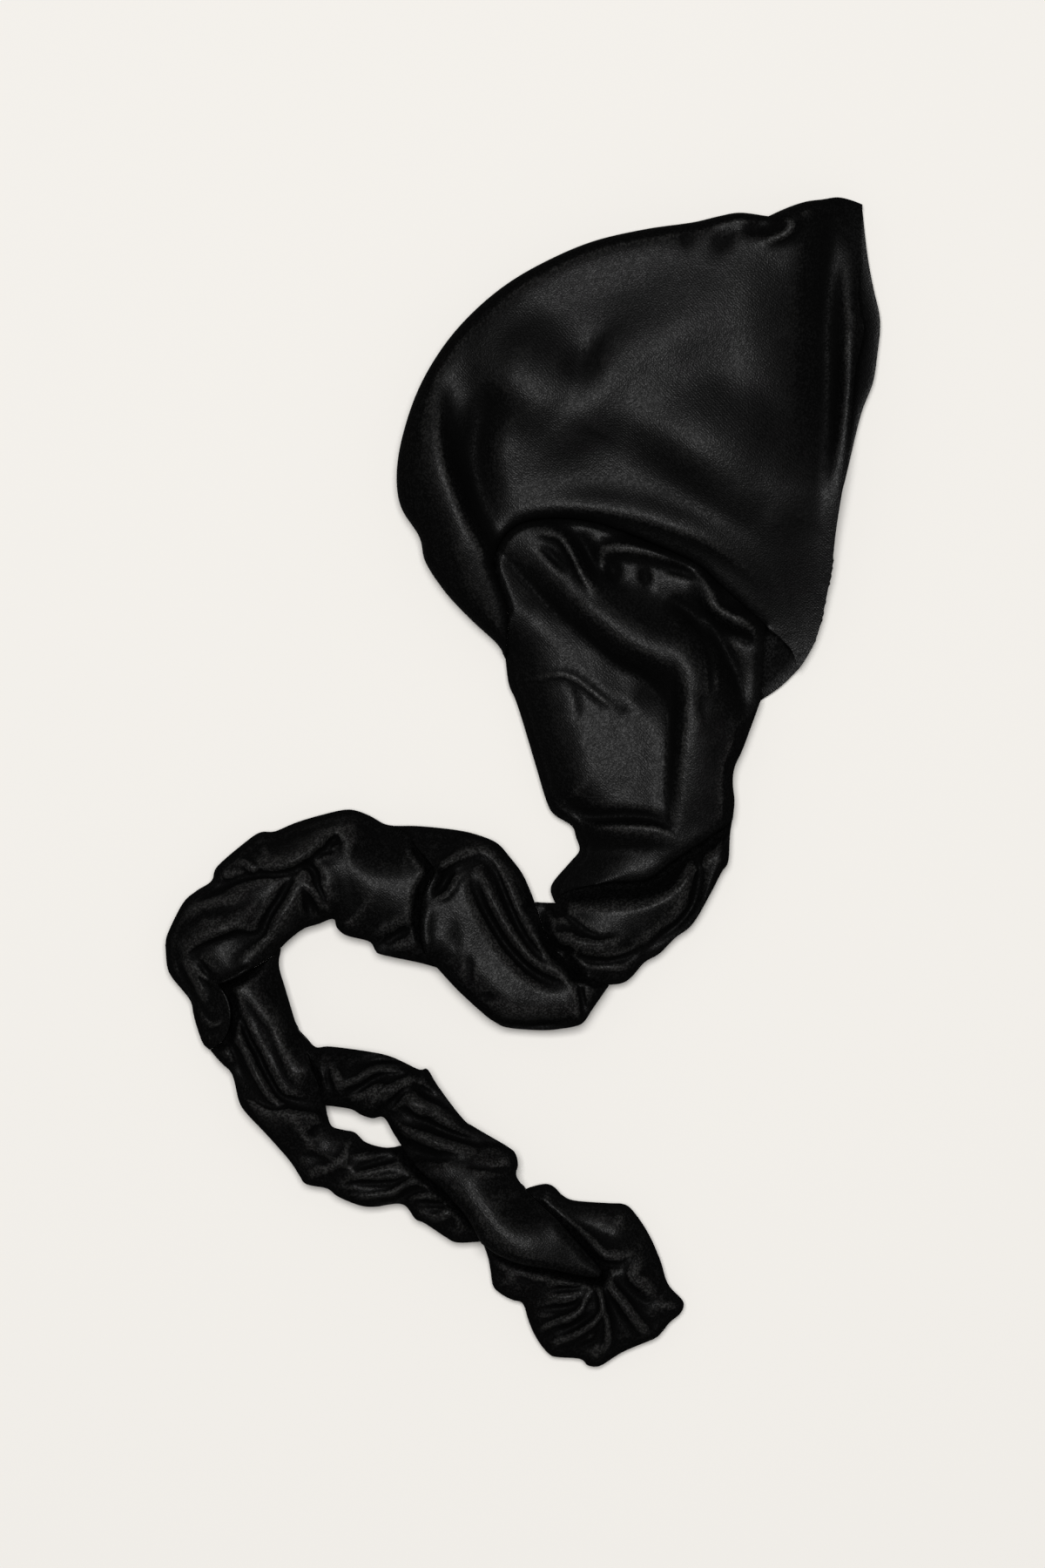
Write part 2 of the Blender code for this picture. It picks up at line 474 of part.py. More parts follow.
def cloth_body(name, outer, faces, count, sewn, level, collection, material):
    """A closed sheet: the outer face, an inner face one cloth away and a border between.
    On the sewn part of the border the inner face ends at the seam's level."""
    corners = outer[np.array(faces)]
    face_normals = np.cross(corners[:, 1] - corners[:, 0], corners[:, 2] - corners[:, 0])
    normals = np.zeros_like(outer)
    for corner in range(3):
        np.add.at(normals, np.array(faces)[:, corner], face_normals)
    normals /= np.linalg.norm(normals, axis=1)[:, None]
    inner = outer - CLOTH * normals
    facing = np.sign(normals[:, 2].sum())
    held = np.maximum(inner[:, 2] * facing, level * facing) * facing
    inner[:, 2] = np.where(sewn > CROWN_ROUND, inner[:, 2], held)
    border = np.arange(count)
    inner[border, 2] = np.where(sewn[:count] < CLOTH, level, inner[border, 2])
    first = len(outer)
    walls = []
    for i in range(count):
        j = (i + 1) % count
        wall = (i, first + i, first + j, j)
        walls.append(wall if facing > 0.0 else wall[::-1])
    backs = [tuple(first + i for i in reversed(face)) for face in faces]
    return add_object(name, np.vstack([outer, inner]), list(faces) + backs + walls,
                      collection, material)


def hood_near_side(collection, material):
    """The panel that faces up: a puffed sheet, turned down to the seam at crown and tail."""
    lines = [("crown_edge", 1), ("lobe_side", 1), ("arc_edge", 1), ("nape_lip", 1),
             ("near_rim", 1), ("peak_edge", 1)]
    loop = closed_outline(lines, NEAR_CELL)
    rings = (0.10 * CROWN_ROUND, 0.45 * CROWN_ROUND, 1.1 * CROWN_ROUND)
    plan, faces, count = plan_mesh(loop, NEAR_CELL, rings)
    sewn = seam_distance(plan, NEAR_CELL)
    rim = np.vstack([outline_line("nape_lip", NEAR_CELL), outline_line("near_rim", NEAR_CELL)[1:]])
    rim_gap, rim_side, rim_share = line_distance(plan, rim)
    rise = np.ones(len(plan))
    for fold, left, right, route in HOOD_FOLDS:
        path = [hood_point(*share) for share in route]
        rise += fold * fold_rise(plan, path, left * HOOD_DEPTH, right * HOOD_DEPTH)
    puff = HOOD_PUFF * (CROWN_SHARE + (1.0 - CROWN_SHARE) * smooth_step(sewn / CROWN_DOME)) * rise
    level = SEAM_HEIGHT + 0.5 * JOIN_GAP
    rim_height = level + CLOTH + MOUTH * np.sin(math.pi * rim_share) ** 0.7
    height = rim_height + (puff - rim_height) * smooth_step(rim_gap / CROWN_DOME)
    height = level + (height - level) * round_edge(sewn, CROWN_ROUND)
    outer = np.column_stack([plan, height])
    return cloth_body("hood_near_side", outer, faces, count, sewn, level, collection, material)


def hood_far_side(collection, material):
    """The panel on the ground: flat, with its sewn edges turned up to the seam."""
    lines = [("crown_edge", 1), ("lobe_side", 1), ("arc_edge", 1), ("neck_shoulder", 1),
             ("nape_edge", 1), ("far_rim", -1), ("peak_edge", 1)]
    loop = closed_outline(lines, FAR_CELL)
    rings = (0.10 * SEAM_TURN, 0.45 * SEAM_TURN, 1.0 * SEAM_TURN)
    plan, faces, count = plan_mesh(loop, FAR_CELL, rings)
    sewn = seam_distance(plan, FAR_CELL)
    level = SEAM_HEIGHT - 0.5 * JOIN_GAP
    height = level * (1.0 - round_edge(sewn, SEAM_TURN))
    outer = np.column_stack([plan, height])
    turned = [face[::-1] for face in faces]
    return cloth_body("hood_far_side", outer, turned, count, sewn, level, collection, material)


def build():
    clear_scene()
    collection = bpy.data.collections.new("turban_headwrap")
    bpy.context.scene.collection.children.link(collection)
    material = velvet_material()
    pieces = [hood_near_side(collection, material), hood_far_side(collection, material)]
    for name, (thickness, sides) in TAIL_PIECES.items():
        pieces.append(tail_piece(name, thickness, sides, collection, material))
    low = np.min([np.min([p.co[:2] for p in body.data.vertices], axis=0) for body in pieces], axis=0)
    high = np.max([np.max([p.co[:2] for p in body.data.vertices], axis=0) for body in pieces], axis=0)
    middle = bpy.data.objects.new("middle", None)
    collection.objects.link(middle)
    middle.location = (-0.5 * (low[0] + high[0]), -0.5 * (low[1] + high[1]), 0.0)
    for body in pieces:
        body.parent = middle


build()
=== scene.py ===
# Black velvet hooded turban, laid flat on its side and seen from straight above.
import bpy
import math
import numpy as np
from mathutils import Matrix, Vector, noise
from mathutils.geometry import delaunay_2d_cdt


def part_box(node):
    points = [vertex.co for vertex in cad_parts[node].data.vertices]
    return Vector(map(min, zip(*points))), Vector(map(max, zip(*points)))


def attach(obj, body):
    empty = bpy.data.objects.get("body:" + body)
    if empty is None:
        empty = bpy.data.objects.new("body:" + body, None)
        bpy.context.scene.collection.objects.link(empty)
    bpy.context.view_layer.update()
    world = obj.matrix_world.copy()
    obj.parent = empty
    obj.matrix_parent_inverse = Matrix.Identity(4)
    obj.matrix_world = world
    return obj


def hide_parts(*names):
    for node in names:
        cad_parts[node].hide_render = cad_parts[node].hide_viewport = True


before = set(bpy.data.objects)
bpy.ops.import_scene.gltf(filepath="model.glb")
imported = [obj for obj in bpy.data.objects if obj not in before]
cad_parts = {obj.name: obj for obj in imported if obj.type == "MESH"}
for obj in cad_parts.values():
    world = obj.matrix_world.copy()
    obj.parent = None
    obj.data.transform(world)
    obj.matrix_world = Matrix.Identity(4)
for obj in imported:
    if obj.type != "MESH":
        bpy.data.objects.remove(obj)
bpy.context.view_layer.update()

# The hood's far side panel, the half that lies on the table.
# It is one layer of heavy satin velvet, cut with a curved crown and sewn to the near
# side along it. Its rim shows past the near one at the face opening.

# Shares are counted from the hood's corner: the rim reaches RIM_SHARE of its depth, and
# the nape's tip hangs NAPE_SHARE of its height below.
RIM_SHARE = 1.072
NAPE_SHARE = 0.09
near_low, near_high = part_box("hood_near_side")
HOOD_DEPTH = (near_high[0] - near_low[0]) / RIM_SHARE
HOOD_HEIGHT = (near_high[1] - near_low[1]) / (1.0 + NAPE_SHARE)
hood_corner = (near_low[0], near_low[1] + NAPE_SHARE * HOOD_HEIGHT)
CLOTH = 0.002
SEAM_HEIGHT = near_low[2]
CURVE_STEPS = 6

# Outline lines of the hood: (across, up), shares of its depth and height.
hood_lines = {
    "peak_edge": [
        (1.072, 0.984), (1.046, 0.994), (1.014, 1.0), (0.978, 0.994), (0.94, 0.988), (0.898, 0.974),
        (0.854, 0.954)],
    "crown_edge": [
        (0.854, 0.954), (0.79, 0.962), (0.74, 0.954), (0.68, 0.94), (0.57, 0.924), (0.45, 0.896),
        (0.342, 0.85), (0.25, 0.796), (0.17, 0.728), (0.104, 0.65), (0.05, 0.556), (0.014, 0.45),
        (0.0, 0.36), (0.01, 0.286), (0.052, 0.218), (0.066, 0.16), (0.112, 0.09), (0.172, 0.026),
        (0.232, -0.03), (0.25, -0.064)],
    "lobe_side": [(0.25, -0.064), (0.254, -0.02), (0.256, 0.026), (0.25, 0.07), (0.222, 0.15)],
    "arc_edge": [
        (0.222, 0.15), (0.234, 0.194), (0.262, 0.232), (0.302, 0.252), (0.37, 0.258), (0.45, 0.25),
        (0.524, 0.226), (0.602, 0.194), (0.688, 0.154), (0.746, 0.102), (0.804, 0.05), (0.846, 0.014)],
    "nape_lip": [(0.846, 0.014), (0.88, -0.016), (0.908, -0.046), (0.922, -0.09)],
    "near_rim": [
        (0.922, -0.09), (0.948, -0.05), (0.972, 0.01), (0.996, 0.13), (1.006, 0.22), (1.016, 0.29),
        (1.028, 0.36), (1.038, 0.43), (1.044, 0.51), (1.052, 0.6), (1.064, 0.65), (1.072, 0.69),
        (1.064, 0.734), (1.06, 0.78), (1.066, 0.85), (1.068, 0.93), (1.072, 0.984)],
    "far_rim": [
        (1.072, 0.984), (1.078, 0.914), (1.086, 0.85), (1.098, 0.786), (1.11, 0.734), (1.112, 0.694),
        (1.106, 0.64), (1.096, 0.574), (1.074, 0.518), (1.06, 0.47), (1.032, 0.35), (1.012, 0.27),
        (0.996, 0.15), (0.978, 0.05), (0.954, -0.026), (0.922, -0.09)],
    "neck_shoulder": [(0.846, 0.014), (0.844, -0.02), (0.842, -0.07), (0.836, -0.16)],
    "nape_edge": [(0.836, -0.16), (0.864, -0.142), (0.89, -0.122), (0.922, -0.09)],
}
tail_lines = {}
SEWN_LINES = ("crown_edge", "lobe_side", "arc_edge", "peak_edge")


def hood_point(across, up):
    return (hood_corner[0] + across * HOOD_DEPTH, hood_corner[1] + up * HOOD_HEIGHT)


def smooth_curve(points):
    """Points along a Catmull-Rom curve through the given ones."""
    knots = np.array(points, dtype=float)
    knots = np.vstack([2 * knots[0] - knots[1], knots, 2 * knots[-1] - knots[-2]])
    curve = []
    for before, start, end, after in zip(knots, knots[1:], knots[2:], knots[3:]):
        for step in range(CURVE_STEPS):
            t = step / CURVE_STEPS
            curve.append(0.5 * (2 * start + (end - before) * t
                                + (2 * before - 5 * start + 4 * end - after) * t * t
                                + (3 * start - before - 3 * end + after) * t ** 3))
    curve.append(knots[-2])
    return np.array(curve)


def even_steps(curve, cell):
    """The same curve cut into equal steps of about the cell's length."""
    lengths = np.concatenate([[0.0], np.cumsum(np.linalg.norm(np.diff(curve, axis=0), axis=1))])
    count = max(2, int(round(lengths[-1] / cell)))
    marks = np.linspace(0.0, lengths[-1], count + 1)
    return np.column_stack([np.interp(marks, lengths, curve[:, 0]),
                            np.interp(marks, lengths, curve[:, 1])])


def outline_line(name, cell):
    if name in hood_lines:
        points = [hood_point(*share) for share in hood_lines[name]]
    else:
        points = [tail_point(*share) for share in tail_lines[name]]
    return even_steps(smooth_curve(points), cell)


def line_distance(points, line):
    """Distance of each point to a polyline, its side of it and its place along it."""
    steps = np.diff(line, axis=0)
    lengths = np.linalg.norm(steps, axis=1)
    along = np.concatenate([[0.0], np.cumsum(lengths)])
    best = np.full(len(points), np.inf)
    side = np.zeros(len(points))
    place = np.zeros(len(points))
    for start, step, length, passed in zip(line[:-1], steps, lengths, along):
        offset = points - start
        t = np.clip(offset @ step / length ** 2, 0.0, 1.0)
        gap = np.hypot(offset[:, 0] - t * step[0], offset[:, 1] - t * step[1])
        nearer = gap < best
        cross = step[0] * offset[:, 1] - step[1] * offset[:, 0]
        best[nearer] = gap[nearer]
        side[nearer] = np.where(cross[nearer] >= 0.0, 1.0, -1.0)
        place[nearer] = passed + t[nearer] * length
    return best, side, place


def smooth_step(t):
    t = np.clip(t, 0.0, 1.0)
    return t * t * (3.0 - 2.0 * t)


FOLD_TAPER = 0.30
CREASE_POWER = 1.6


def fold_rise(points, route, left, right, crest):
    """A ridge of height 1 along the route, with its own width on each side: rounded for a
    crest, sharp with soft shoulders for the crease of a valley."""
    line = smooth_curve(route)
    reach = max(left, right)
    rise = np.zeros(len(points))
    close = np.all((points >= line.min(axis=0) - reach) & (points <= line.max(axis=0) + reach), axis=1)
    if not close.any():
        return rise
    gap, side, place = line_distance(points[close], line)
    length = np.sum(np.linalg.norm(np.diff(line, axis=0), axis=1))
    width = np.where(side > 0.0, left, right)
    cap = 0.5 * (left + right)
    taper = FOLD_TAPER * length + cap
    ends = smooth_step((place + 0.5 * cap) / taper) * smooth_step((length - place + 0.5 * cap) / taper)
    flank = np.clip(gap / width, 0.0, 1.0)
    shape = np.cos(0.5 * math.pi * flank) ** 2 if crest else (1.0 - flank) ** CREASE_POWER
    rise[close] = shape * ends
    return rise


def outline_loop(lines, cell):
    """One anticlockwise loop of the named lines."""
    runs = [outline_line(name, cell)[::direction][:-1] for name, direction in lines]
    loop = np.vstack(runs)
    ahead = np.roll(loop, -1, axis=0)
    if np.sum(loop[:, 0] * ahead[:, 1] - ahead[:, 0] * loop[:, 1]) < 0.0:
        loop = loop[::-1]
    return loop


MITRE_LIMIT = 0.5


def drawn_in(loop, distance):
    """The anticlockwise loop moved inwards, by one distance or by one for each point."""
    ahead = np.roll(loop, -1, axis=0) - loop
    behind = loop - np.roll(loop, 1, axis=0)
    ahead /= np.linalg.norm(ahead, axis=1)[:, None]
    behind /= np.linalg.norm(behind, axis=1)[:, None]
    bisector = ahead + behind
    bisector /= np.linalg.norm(bisector, axis=1)[:, None]
    inward = np.column_stack([-bisector[:, 1], bisector[:, 0]])
    across = np.column_stack([-ahead[:, 1], ahead[:, 0]])
    cosine = np.maximum(np.abs(np.sum(inward * across, axis=1)), MITRE_LIMIT)
    return loop + inward * (distance * np.ones(len(loop)) / cosine)[:, None]


def inside(points, loop):
    """True for each point within the loop."""
    found = np.zeros(len(points), dtype=bool)
    for start, end in zip(loop, np.roll(loop, -1, axis=0)):
        if start[1] == end[1]:
            continue
        crosses = (start[1] > points[:, 1]) != (end[1] > points[:, 1])
        reach = start[0] + (points[:, 1] - start[1]) * (end[0] - start[0]) / (end[1] - start[1])
        found ^= crosses & (points[:, 0] < reach)
    return found


GRID_GAP = 0.6
RING_GAP = 0.95
WELD = 1e-7


def plan_mesh(loop, cell, rings):
    """Triangles over the loop's plan: the loop itself, rings inside it and a staggered grid."""
    border = np.vstack([loop, loop[:1]])
    low, high = loop.min(axis=0), loop.max(axis=0)
    row_step = cell * math.sqrt(3.0) / 2.0
    xs, ys = np.meshgrid(np.arange(low[0], high[0], cell), np.arange(low[1], high[1], row_step))
    xs[1::2] += 0.5 * cell
    grid = np.column_stack([xs.ravel(), ys.ravel()])
    grid = grid[inside(grid, loop)]
    grid = grid[line_distance(grid, border)[0] > rings[-1] + GRID_GAP * cell]
    chosen = [loop]
    for ring in rings:
        points = drawn_in(loop, ring)
        points = points[inside(points, loop)]
        chosen.append(points[line_distance(points, border)[0] > RING_GAP * ring])
    points = np.vstack(chosen + [grid])
    count = len(loop)
    edges = [(i, (i + 1) % count) for i in range(count)]
    plan = delaunay_2d_cdt([Vector(p) for p in points], edges, [], 1, WELD)
    return np.array([tuple(v) for v in plan[0]]), np.array([tuple(f) for f in plan[2]]), count


EVENING = 0.6


def settled(heights, faces, held, passes):
    """Heights evened out over neighbouring points, as the stiffness of cloth does."""
    pairs = np.vstack([faces[:, [0, 1]], faces[:, [1, 2]], faces[:, [2, 0]]])
    pairs = np.unique(np.sort(pairs, axis=1), axis=0)
    share = np.bincount(pairs.ravel(), minlength=len(heights))
    for _ in range(passes):
        total = np.bincount(pairs[:, 0], heights[pairs[:, 1]], len(heights))
        total += np.bincount(pairs[:, 1], heights[pairs[:, 0]], len(heights))
        even = total / np.maximum(share, 1)
        heights = np.where(held, heights, (1.0 - EVENING) * heights + EVENING * even)
    return heights


RIPPLE_GAIN = 1.6


def ripple(points, size, seed):
    """Smooth random heights between about -1 and 1, with waves of about the given size."""
    return np.array([noise.noise((x / size, y / size, seed)) for x, y in points]) * RIPPLE_GAIN


def vertex_normals(points, faces):
    """The surface's direction at each point, evened over the faces round it."""
    corners = points[faces]
    face_normals = np.cross(corners[:, 1] - corners[:, 0], corners[:, 2] - corners[:, 0])
    normals = np.zeros_like(points)
    for corner in range(3):
        np.add.at(normals, faces[:, corner], face_normals)
    return normals / np.linalg.norm(normals, axis=1)[:, None]


BEND_PASSES = 3
EDGE_STRIP = 0.003
EDGE_BLEND = 0.005
PAINTED_BEND = 260.0
EDGE_SHADE_LEAST = 0.1
OPEN_EDGE = 0.0004
OPEN_SHADE = 0.004
STEEP_START = 0.95
STEEP_SPAN = 0.20


def painted_shade_and_pile(points, faces, cell, edge_gap, open_gap, shade):
    """How the pile lies sets the roughness, and the same value paints the base colour: 1 for a
    painted highlight on a crest, 0 for painted shade deep in a crease, 0.5 where it is flat.
    Steep flanks and the strip along an open edge, where the cloth turns under, get painted shade."""
    heights = points[:, 2]
    free = np.zeros(len(heights), dtype=bool)
    lifted = heights - settled(heights, faces, free, 1)
    bend = settled(lifted * 4.0 / (EVENING * cell * cell), faces, free, BEND_PASSES)
    inner = smooth_step((edge_gap - EDGE_STRIP) / EDGE_BLEND)
    painted_level = 0.5 + 0.5 * inner * np.clip(bend / PAINTED_BEND, -1.0, 1.0)
    upright = np.abs(vertex_normals(points, faces)[:, 2])
    painted_level *= 1.0 - shade * smooth_step((STEEP_START - upright) / STEEP_SPAN)
    clear_of_edge = smooth_step((open_gap - OPEN_EDGE) / OPEN_SHADE)
    return painted_level * (EDGE_SHADE_LEAST + (1.0 - EDGE_SHADE_LEAST) * clear_of_edge)


# The sides turned in under a tail piece get a little painted shade.
UNDERSIDE_SHADE = 0.4


def add_cloth(name, points, faces, shade_and_pile):
    """A smooth shaded object at the origin with its place in its mesh."""
    mesh = bpy.data.meshes.new(name)
    mesh.from_pydata(points.tolist(), [], [tuple(int(i) for i in face) for face in faces])
    mesh.validate()
    mesh.shade_smooth()
    mesh.materials.append(velvet)
    # Painted shade and highlight for the material, one value for each point.
    painted_level = mesh.attributes.new("shade_and_pile", "FLOAT", "POINT")
    painted_level.data.foreach_set("value", np.concatenate([shade_and_pile, np.full(len(points) - len(shade_and_pile), UNDERSIDE_SHADE)]))
    piece = bpy.data.objects.new(name, mesh)
    bpy.context.collection.objects.link(piece)
    return piece


def seam_distance(points, cell, names=SEWN_LINES):
    """Distance of each point to the nearest of the named lines."""
    gap = np.full(len(points), np.inf)
    for name in names:
        gap = np.minimum(gap, line_distance(points, outline_line(name, cell))[0])
    return gap


SEAM_REACH = 0.012


def two_faced(name, outer, faces, count, sewn, level, shade_and_pile):
    """A closed sheet: the outer face, an inner face one cloth away and a border between."""
    normals = vertex_normals(outer, faces)
    facing = np.sign(normals[:, 2].sum())
    inner = outer - CLOTH * normals
    held = np.maximum(inner[:, 2] * facing, level * facing) * facing
    inner[:, 2] = np.where(sewn > SEAM_REACH, inner[:, 2], held)
    inner[:count, 2] = np.where(sewn[:count] < CLOTH, level, inner[:count, 2])
    first = len(outer)
    around = [(i, first + i, first + (i + 1) % count, (i + 1) % count) for i in range(count)]
    if facing < 0.0:
        around = [wall[::-1] for wall in around]
    backs = [tuple(first + i for i in face[::-1]) for face in faces]
    return add_cloth(name, np.vstack([outer, inner]), list(faces) + backs + around,
                     np.concatenate([shade_and_pile, shade_and_pile]))


GLOSS = 0.066
SATIN_ROUGHNESS = 0.35
DULL_ROUGHNESS = 0.70
GRAIN_SCALE = 520.0
GRAIN_DETAIL = 4.0
GRAIN_ROUGHNESS = 0.85
TUFT_SCALE = 1150.0
TWILL_SCALE = 330.0
TWILL_BEND = 1.5
TWILL_DETAIL = 1.0
TUFT_SHARE = 0.55
TWILL_SHARE = 0.12
BUMP_SHARE = 0.42
BUMP_DEPTH = 0.0005
# Painted shade and highlight in the base colour: the place from painted shade to painted highlight, and
# the colour there.
painted_shade_colours = [
    (0.25, (0.0008, 0.0008, 0.0008, 1.0)),
    (0.5, (0.002, 0.002, 0.002, 1.0)),
    (0.95, (0.012, 0.0118, 0.0115, 1.0)),
]
# Map ranges: from and to of what goes in, from and to of what comes out.
SPARKLE = (0.45, 0.75, 0.5, 2.2)
NAP = (0.2, 0.8, 1.26, 0.80)
DULL = (0.15, 0.48, DULL_ROUGHNESS, SATIN_ROUGHNESS)


def textured(tree, kind, values, place):
    """A texture node with its values, on the piece's own coordinates."""
    node = tree.nodes.new(kind)
    for socket, value in values.items():
        node.inputs[socket].default_value = value
    tree.links.new(place, node.inputs["Vector"])
    return node


def mixed(tree, share, first, second):
    """Two values mixed, with this share of the second."""
    node = tree.nodes.new("ShaderNodeMix")
    node.data_type = "FLOAT"
    node.inputs[0].default_value = share
    tree.links.new(first, node.inputs[2])
    tree.links.new(second, node.inputs[3])
    return node.outputs[0]


def mapped(tree, value, ranges):
    """A value carried from one range to another."""
    node = tree.nodes.new("ShaderNodeMapRange")
    for socket, limit in zip(("From Min", "From Max", "To Min", "To Max"), ranges):
        node.inputs[socket].default_value = limit
    tree.links.new(value, node.inputs["Value"])
    return node.outputs["Result"]


def velvet_material():
    """Deep black satin velvet: a glossy pile with a fine twill, a sparkling grain and painted shade and
    highlight.
    """
    material = bpy.data.materials.new("black_satin_velvet")
    material.use_nodes = True
    tree = material.node_tree
    shader = tree.nodes["Principled BSDF"]
    shader.inputs["Specular IOR Level"].default_value = GLOSS
    place = tree.nodes.new("ShaderNodeTexCoord").outputs["Object"]
    grain = textured(tree, "ShaderNodeTexNoise", {
        "Scale": GRAIN_SCALE, "Detail": GRAIN_DETAIL, "Roughness": GRAIN_ROUGHNESS}, place)
    tufts = textured(tree, "ShaderNodeTexVoronoi", {"Scale": TUFT_SCALE}, place)
    twill = textured(tree, "ShaderNodeTexWave", {
        "Scale": TWILL_SCALE, "Distortion": TWILL_BEND, "Detail": TWILL_DETAIL}, place)
    twill.wave_type = "BANDS"
    twill.bands_direction = "DIAGONAL"
    crush = mixed(tree, TUFT_SHARE, grain.outputs["Fac"], tufts.outputs["Distance"])
    bump = tree.nodes.new("ShaderNodeBump")
    bump.inputs["Strength"].default_value = BUMP_SHARE
    bump.inputs["Distance"].default_value = BUMP_DEPTH
    tree.links.new(mixed(tree, TWILL_SHARE, crush, twill.outputs["Fac"]), bump.inputs["Height"])
    tree.links.new(bump.outputs["Normal"], shader.inputs["Normal"])
    # Painted shade and highlight from the points go into the base colour; the same values dull or gloss
    # the roughness.
    shade_and_pile = tree.nodes.new("ShaderNodeAttribute")
    shade_and_pile.attribute_name = "shade_and_pile"
    depth = tree.nodes.new("ShaderNodeValToRGB")
    stops = depth.color_ramp.elements
    stops.new(painted_shade_colours[1][0])
    for stop, (level, colour) in zip(stops, painted_shade_colours):
        stop.position = level
        stop.color = colour
    tree.links.new(shade_and_pile.outputs["Fac"], depth.inputs["Fac"])
    tint = tree.nodes.new("ShaderNodeVectorMath")
    tint.operation = "SCALE"
    tree.links.new(depth.outputs["Color"], tint.inputs[0])
    tree.links.new(mapped(tree, tufts.outputs["Color"], SPARKLE), tint.inputs["Scale"])
    tree.links.new(tint.outputs["Vector"], shader.inputs["Base Color"])
    uneven = tree.nodes.new("ShaderNodeMath")
    uneven.operation = "MULTIPLY"
    tree.links.new(mapped(tree, shade_and_pile.outputs["Fac"], DULL), uneven.inputs[0])
    tree.links.new(mapped(tree, tufts.outputs["Color"], NAP), uneven.inputs[1])
    tree.links.new(uneven.outputs[0], shader.inputs["Roughness"])
    return material


velvet = velvet_material()
FAR_CELL = 0.0030
FAR_TURN = 0.009
FAR_RINGS = (0.03, 0.2, 0.6)
RIM_LIFT = 0.010
RIM_FULLNESS = 0.5
RIM_BEND = 0.020
RIM_BAND = 0.007
RIM_FADE = 0.003
# Painted shade: the far panel's level under and beside the near panel, and how much lighter its rim band
# is.
HIDDEN_SHADE = 0.05
RIM_BAND_LESS_SHADE = 0.45
far_loop = outline_loop([("crown_edge", 1), ("lobe_side", 1), ("arc_edge", 1), ("neck_shoulder", 1),
                         ("nape_edge", 1), ("far_rim", -1), ("peak_edge", 1)], FAR_CELL)
plan, faces, count = plan_mesh(far_loop, FAR_CELL, [share * FAR_TURN for share in FAR_RINGS])
sewn = seam_distance(plan, FAR_CELL)
edge = 1.0 - np.clip(sewn / FAR_TURN, 0.0, 1.0)
height = SEAM_HEIGHT * (1.0 - np.sqrt(1.0 - edge * edge))
rim = np.vstack([outline_line("nape_edge", FAR_CELL), outline_line("far_rim", FAR_CELL)[::-1]])
rim_gap, _, rim_place = line_distance(plan, rim)
lift = RIM_LIFT * np.sin(math.pi * rim_place / rim_place.max()) ** RIM_FULLNESS
height = np.maximum(height, lift * smooth_step(1.0 - rim_gap / RIM_BEND))
# Painted shade on the far panel away from its rim; a band along the rim is left flat.
shade_and_pile = HIDDEN_SHADE + RIM_BAND_LESS_SHADE * smooth_step((RIM_BAND - rim_gap) / RIM_FADE)
far_side = two_faced("hood_far_panel", np.column_stack([plan, height]), faces[:, ::-1], count, sewn,
                     SEAM_HEIGHT, shade_and_pile)
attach(far_side, "root")
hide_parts("hood_far_side")

# The hood's near side panel, the half that faces up.
# The same velvet, puffed over the hollow for the head; its folds, the roll at the back
# and the lip over the tail's root are shaped here.

NEAR_CELL = 0.0015
PUFF = 0.038
CROWN_ROUND = 0.022
CROWN_DOME = 0.070
CROWN_SHARE = 0.90
MOUTH = 0.024
RIM_REACH = 0.040
RIM_START = 0.12
MOUTH_SHARE = 0.50
MOUTH_FULLNESS = 0.5
TIP_SHARE = 0.38
TIP_REACH = 0.110
ARC_LIP = 0.82
ARC_ROUND = 0.009
CROWN_FULLNESS = 4.0
LIP_FULLNESS = 2.5
PUFF_PASSES = 8
NEAR_RINGS = (0.00015, 0.0006, 0.0013, 0.0022, 0.0034)
# Painted shade on the steep flanks of the hood and the neck.
PLAIN_SHADE = 0.50
# Ripples of the cloth: height, size and seed.
BROAD_RIPPLE = (0.0007, 0.050, 3.0)
SMALL_RIPPLE = (0.0001, 0.014, 8.0)
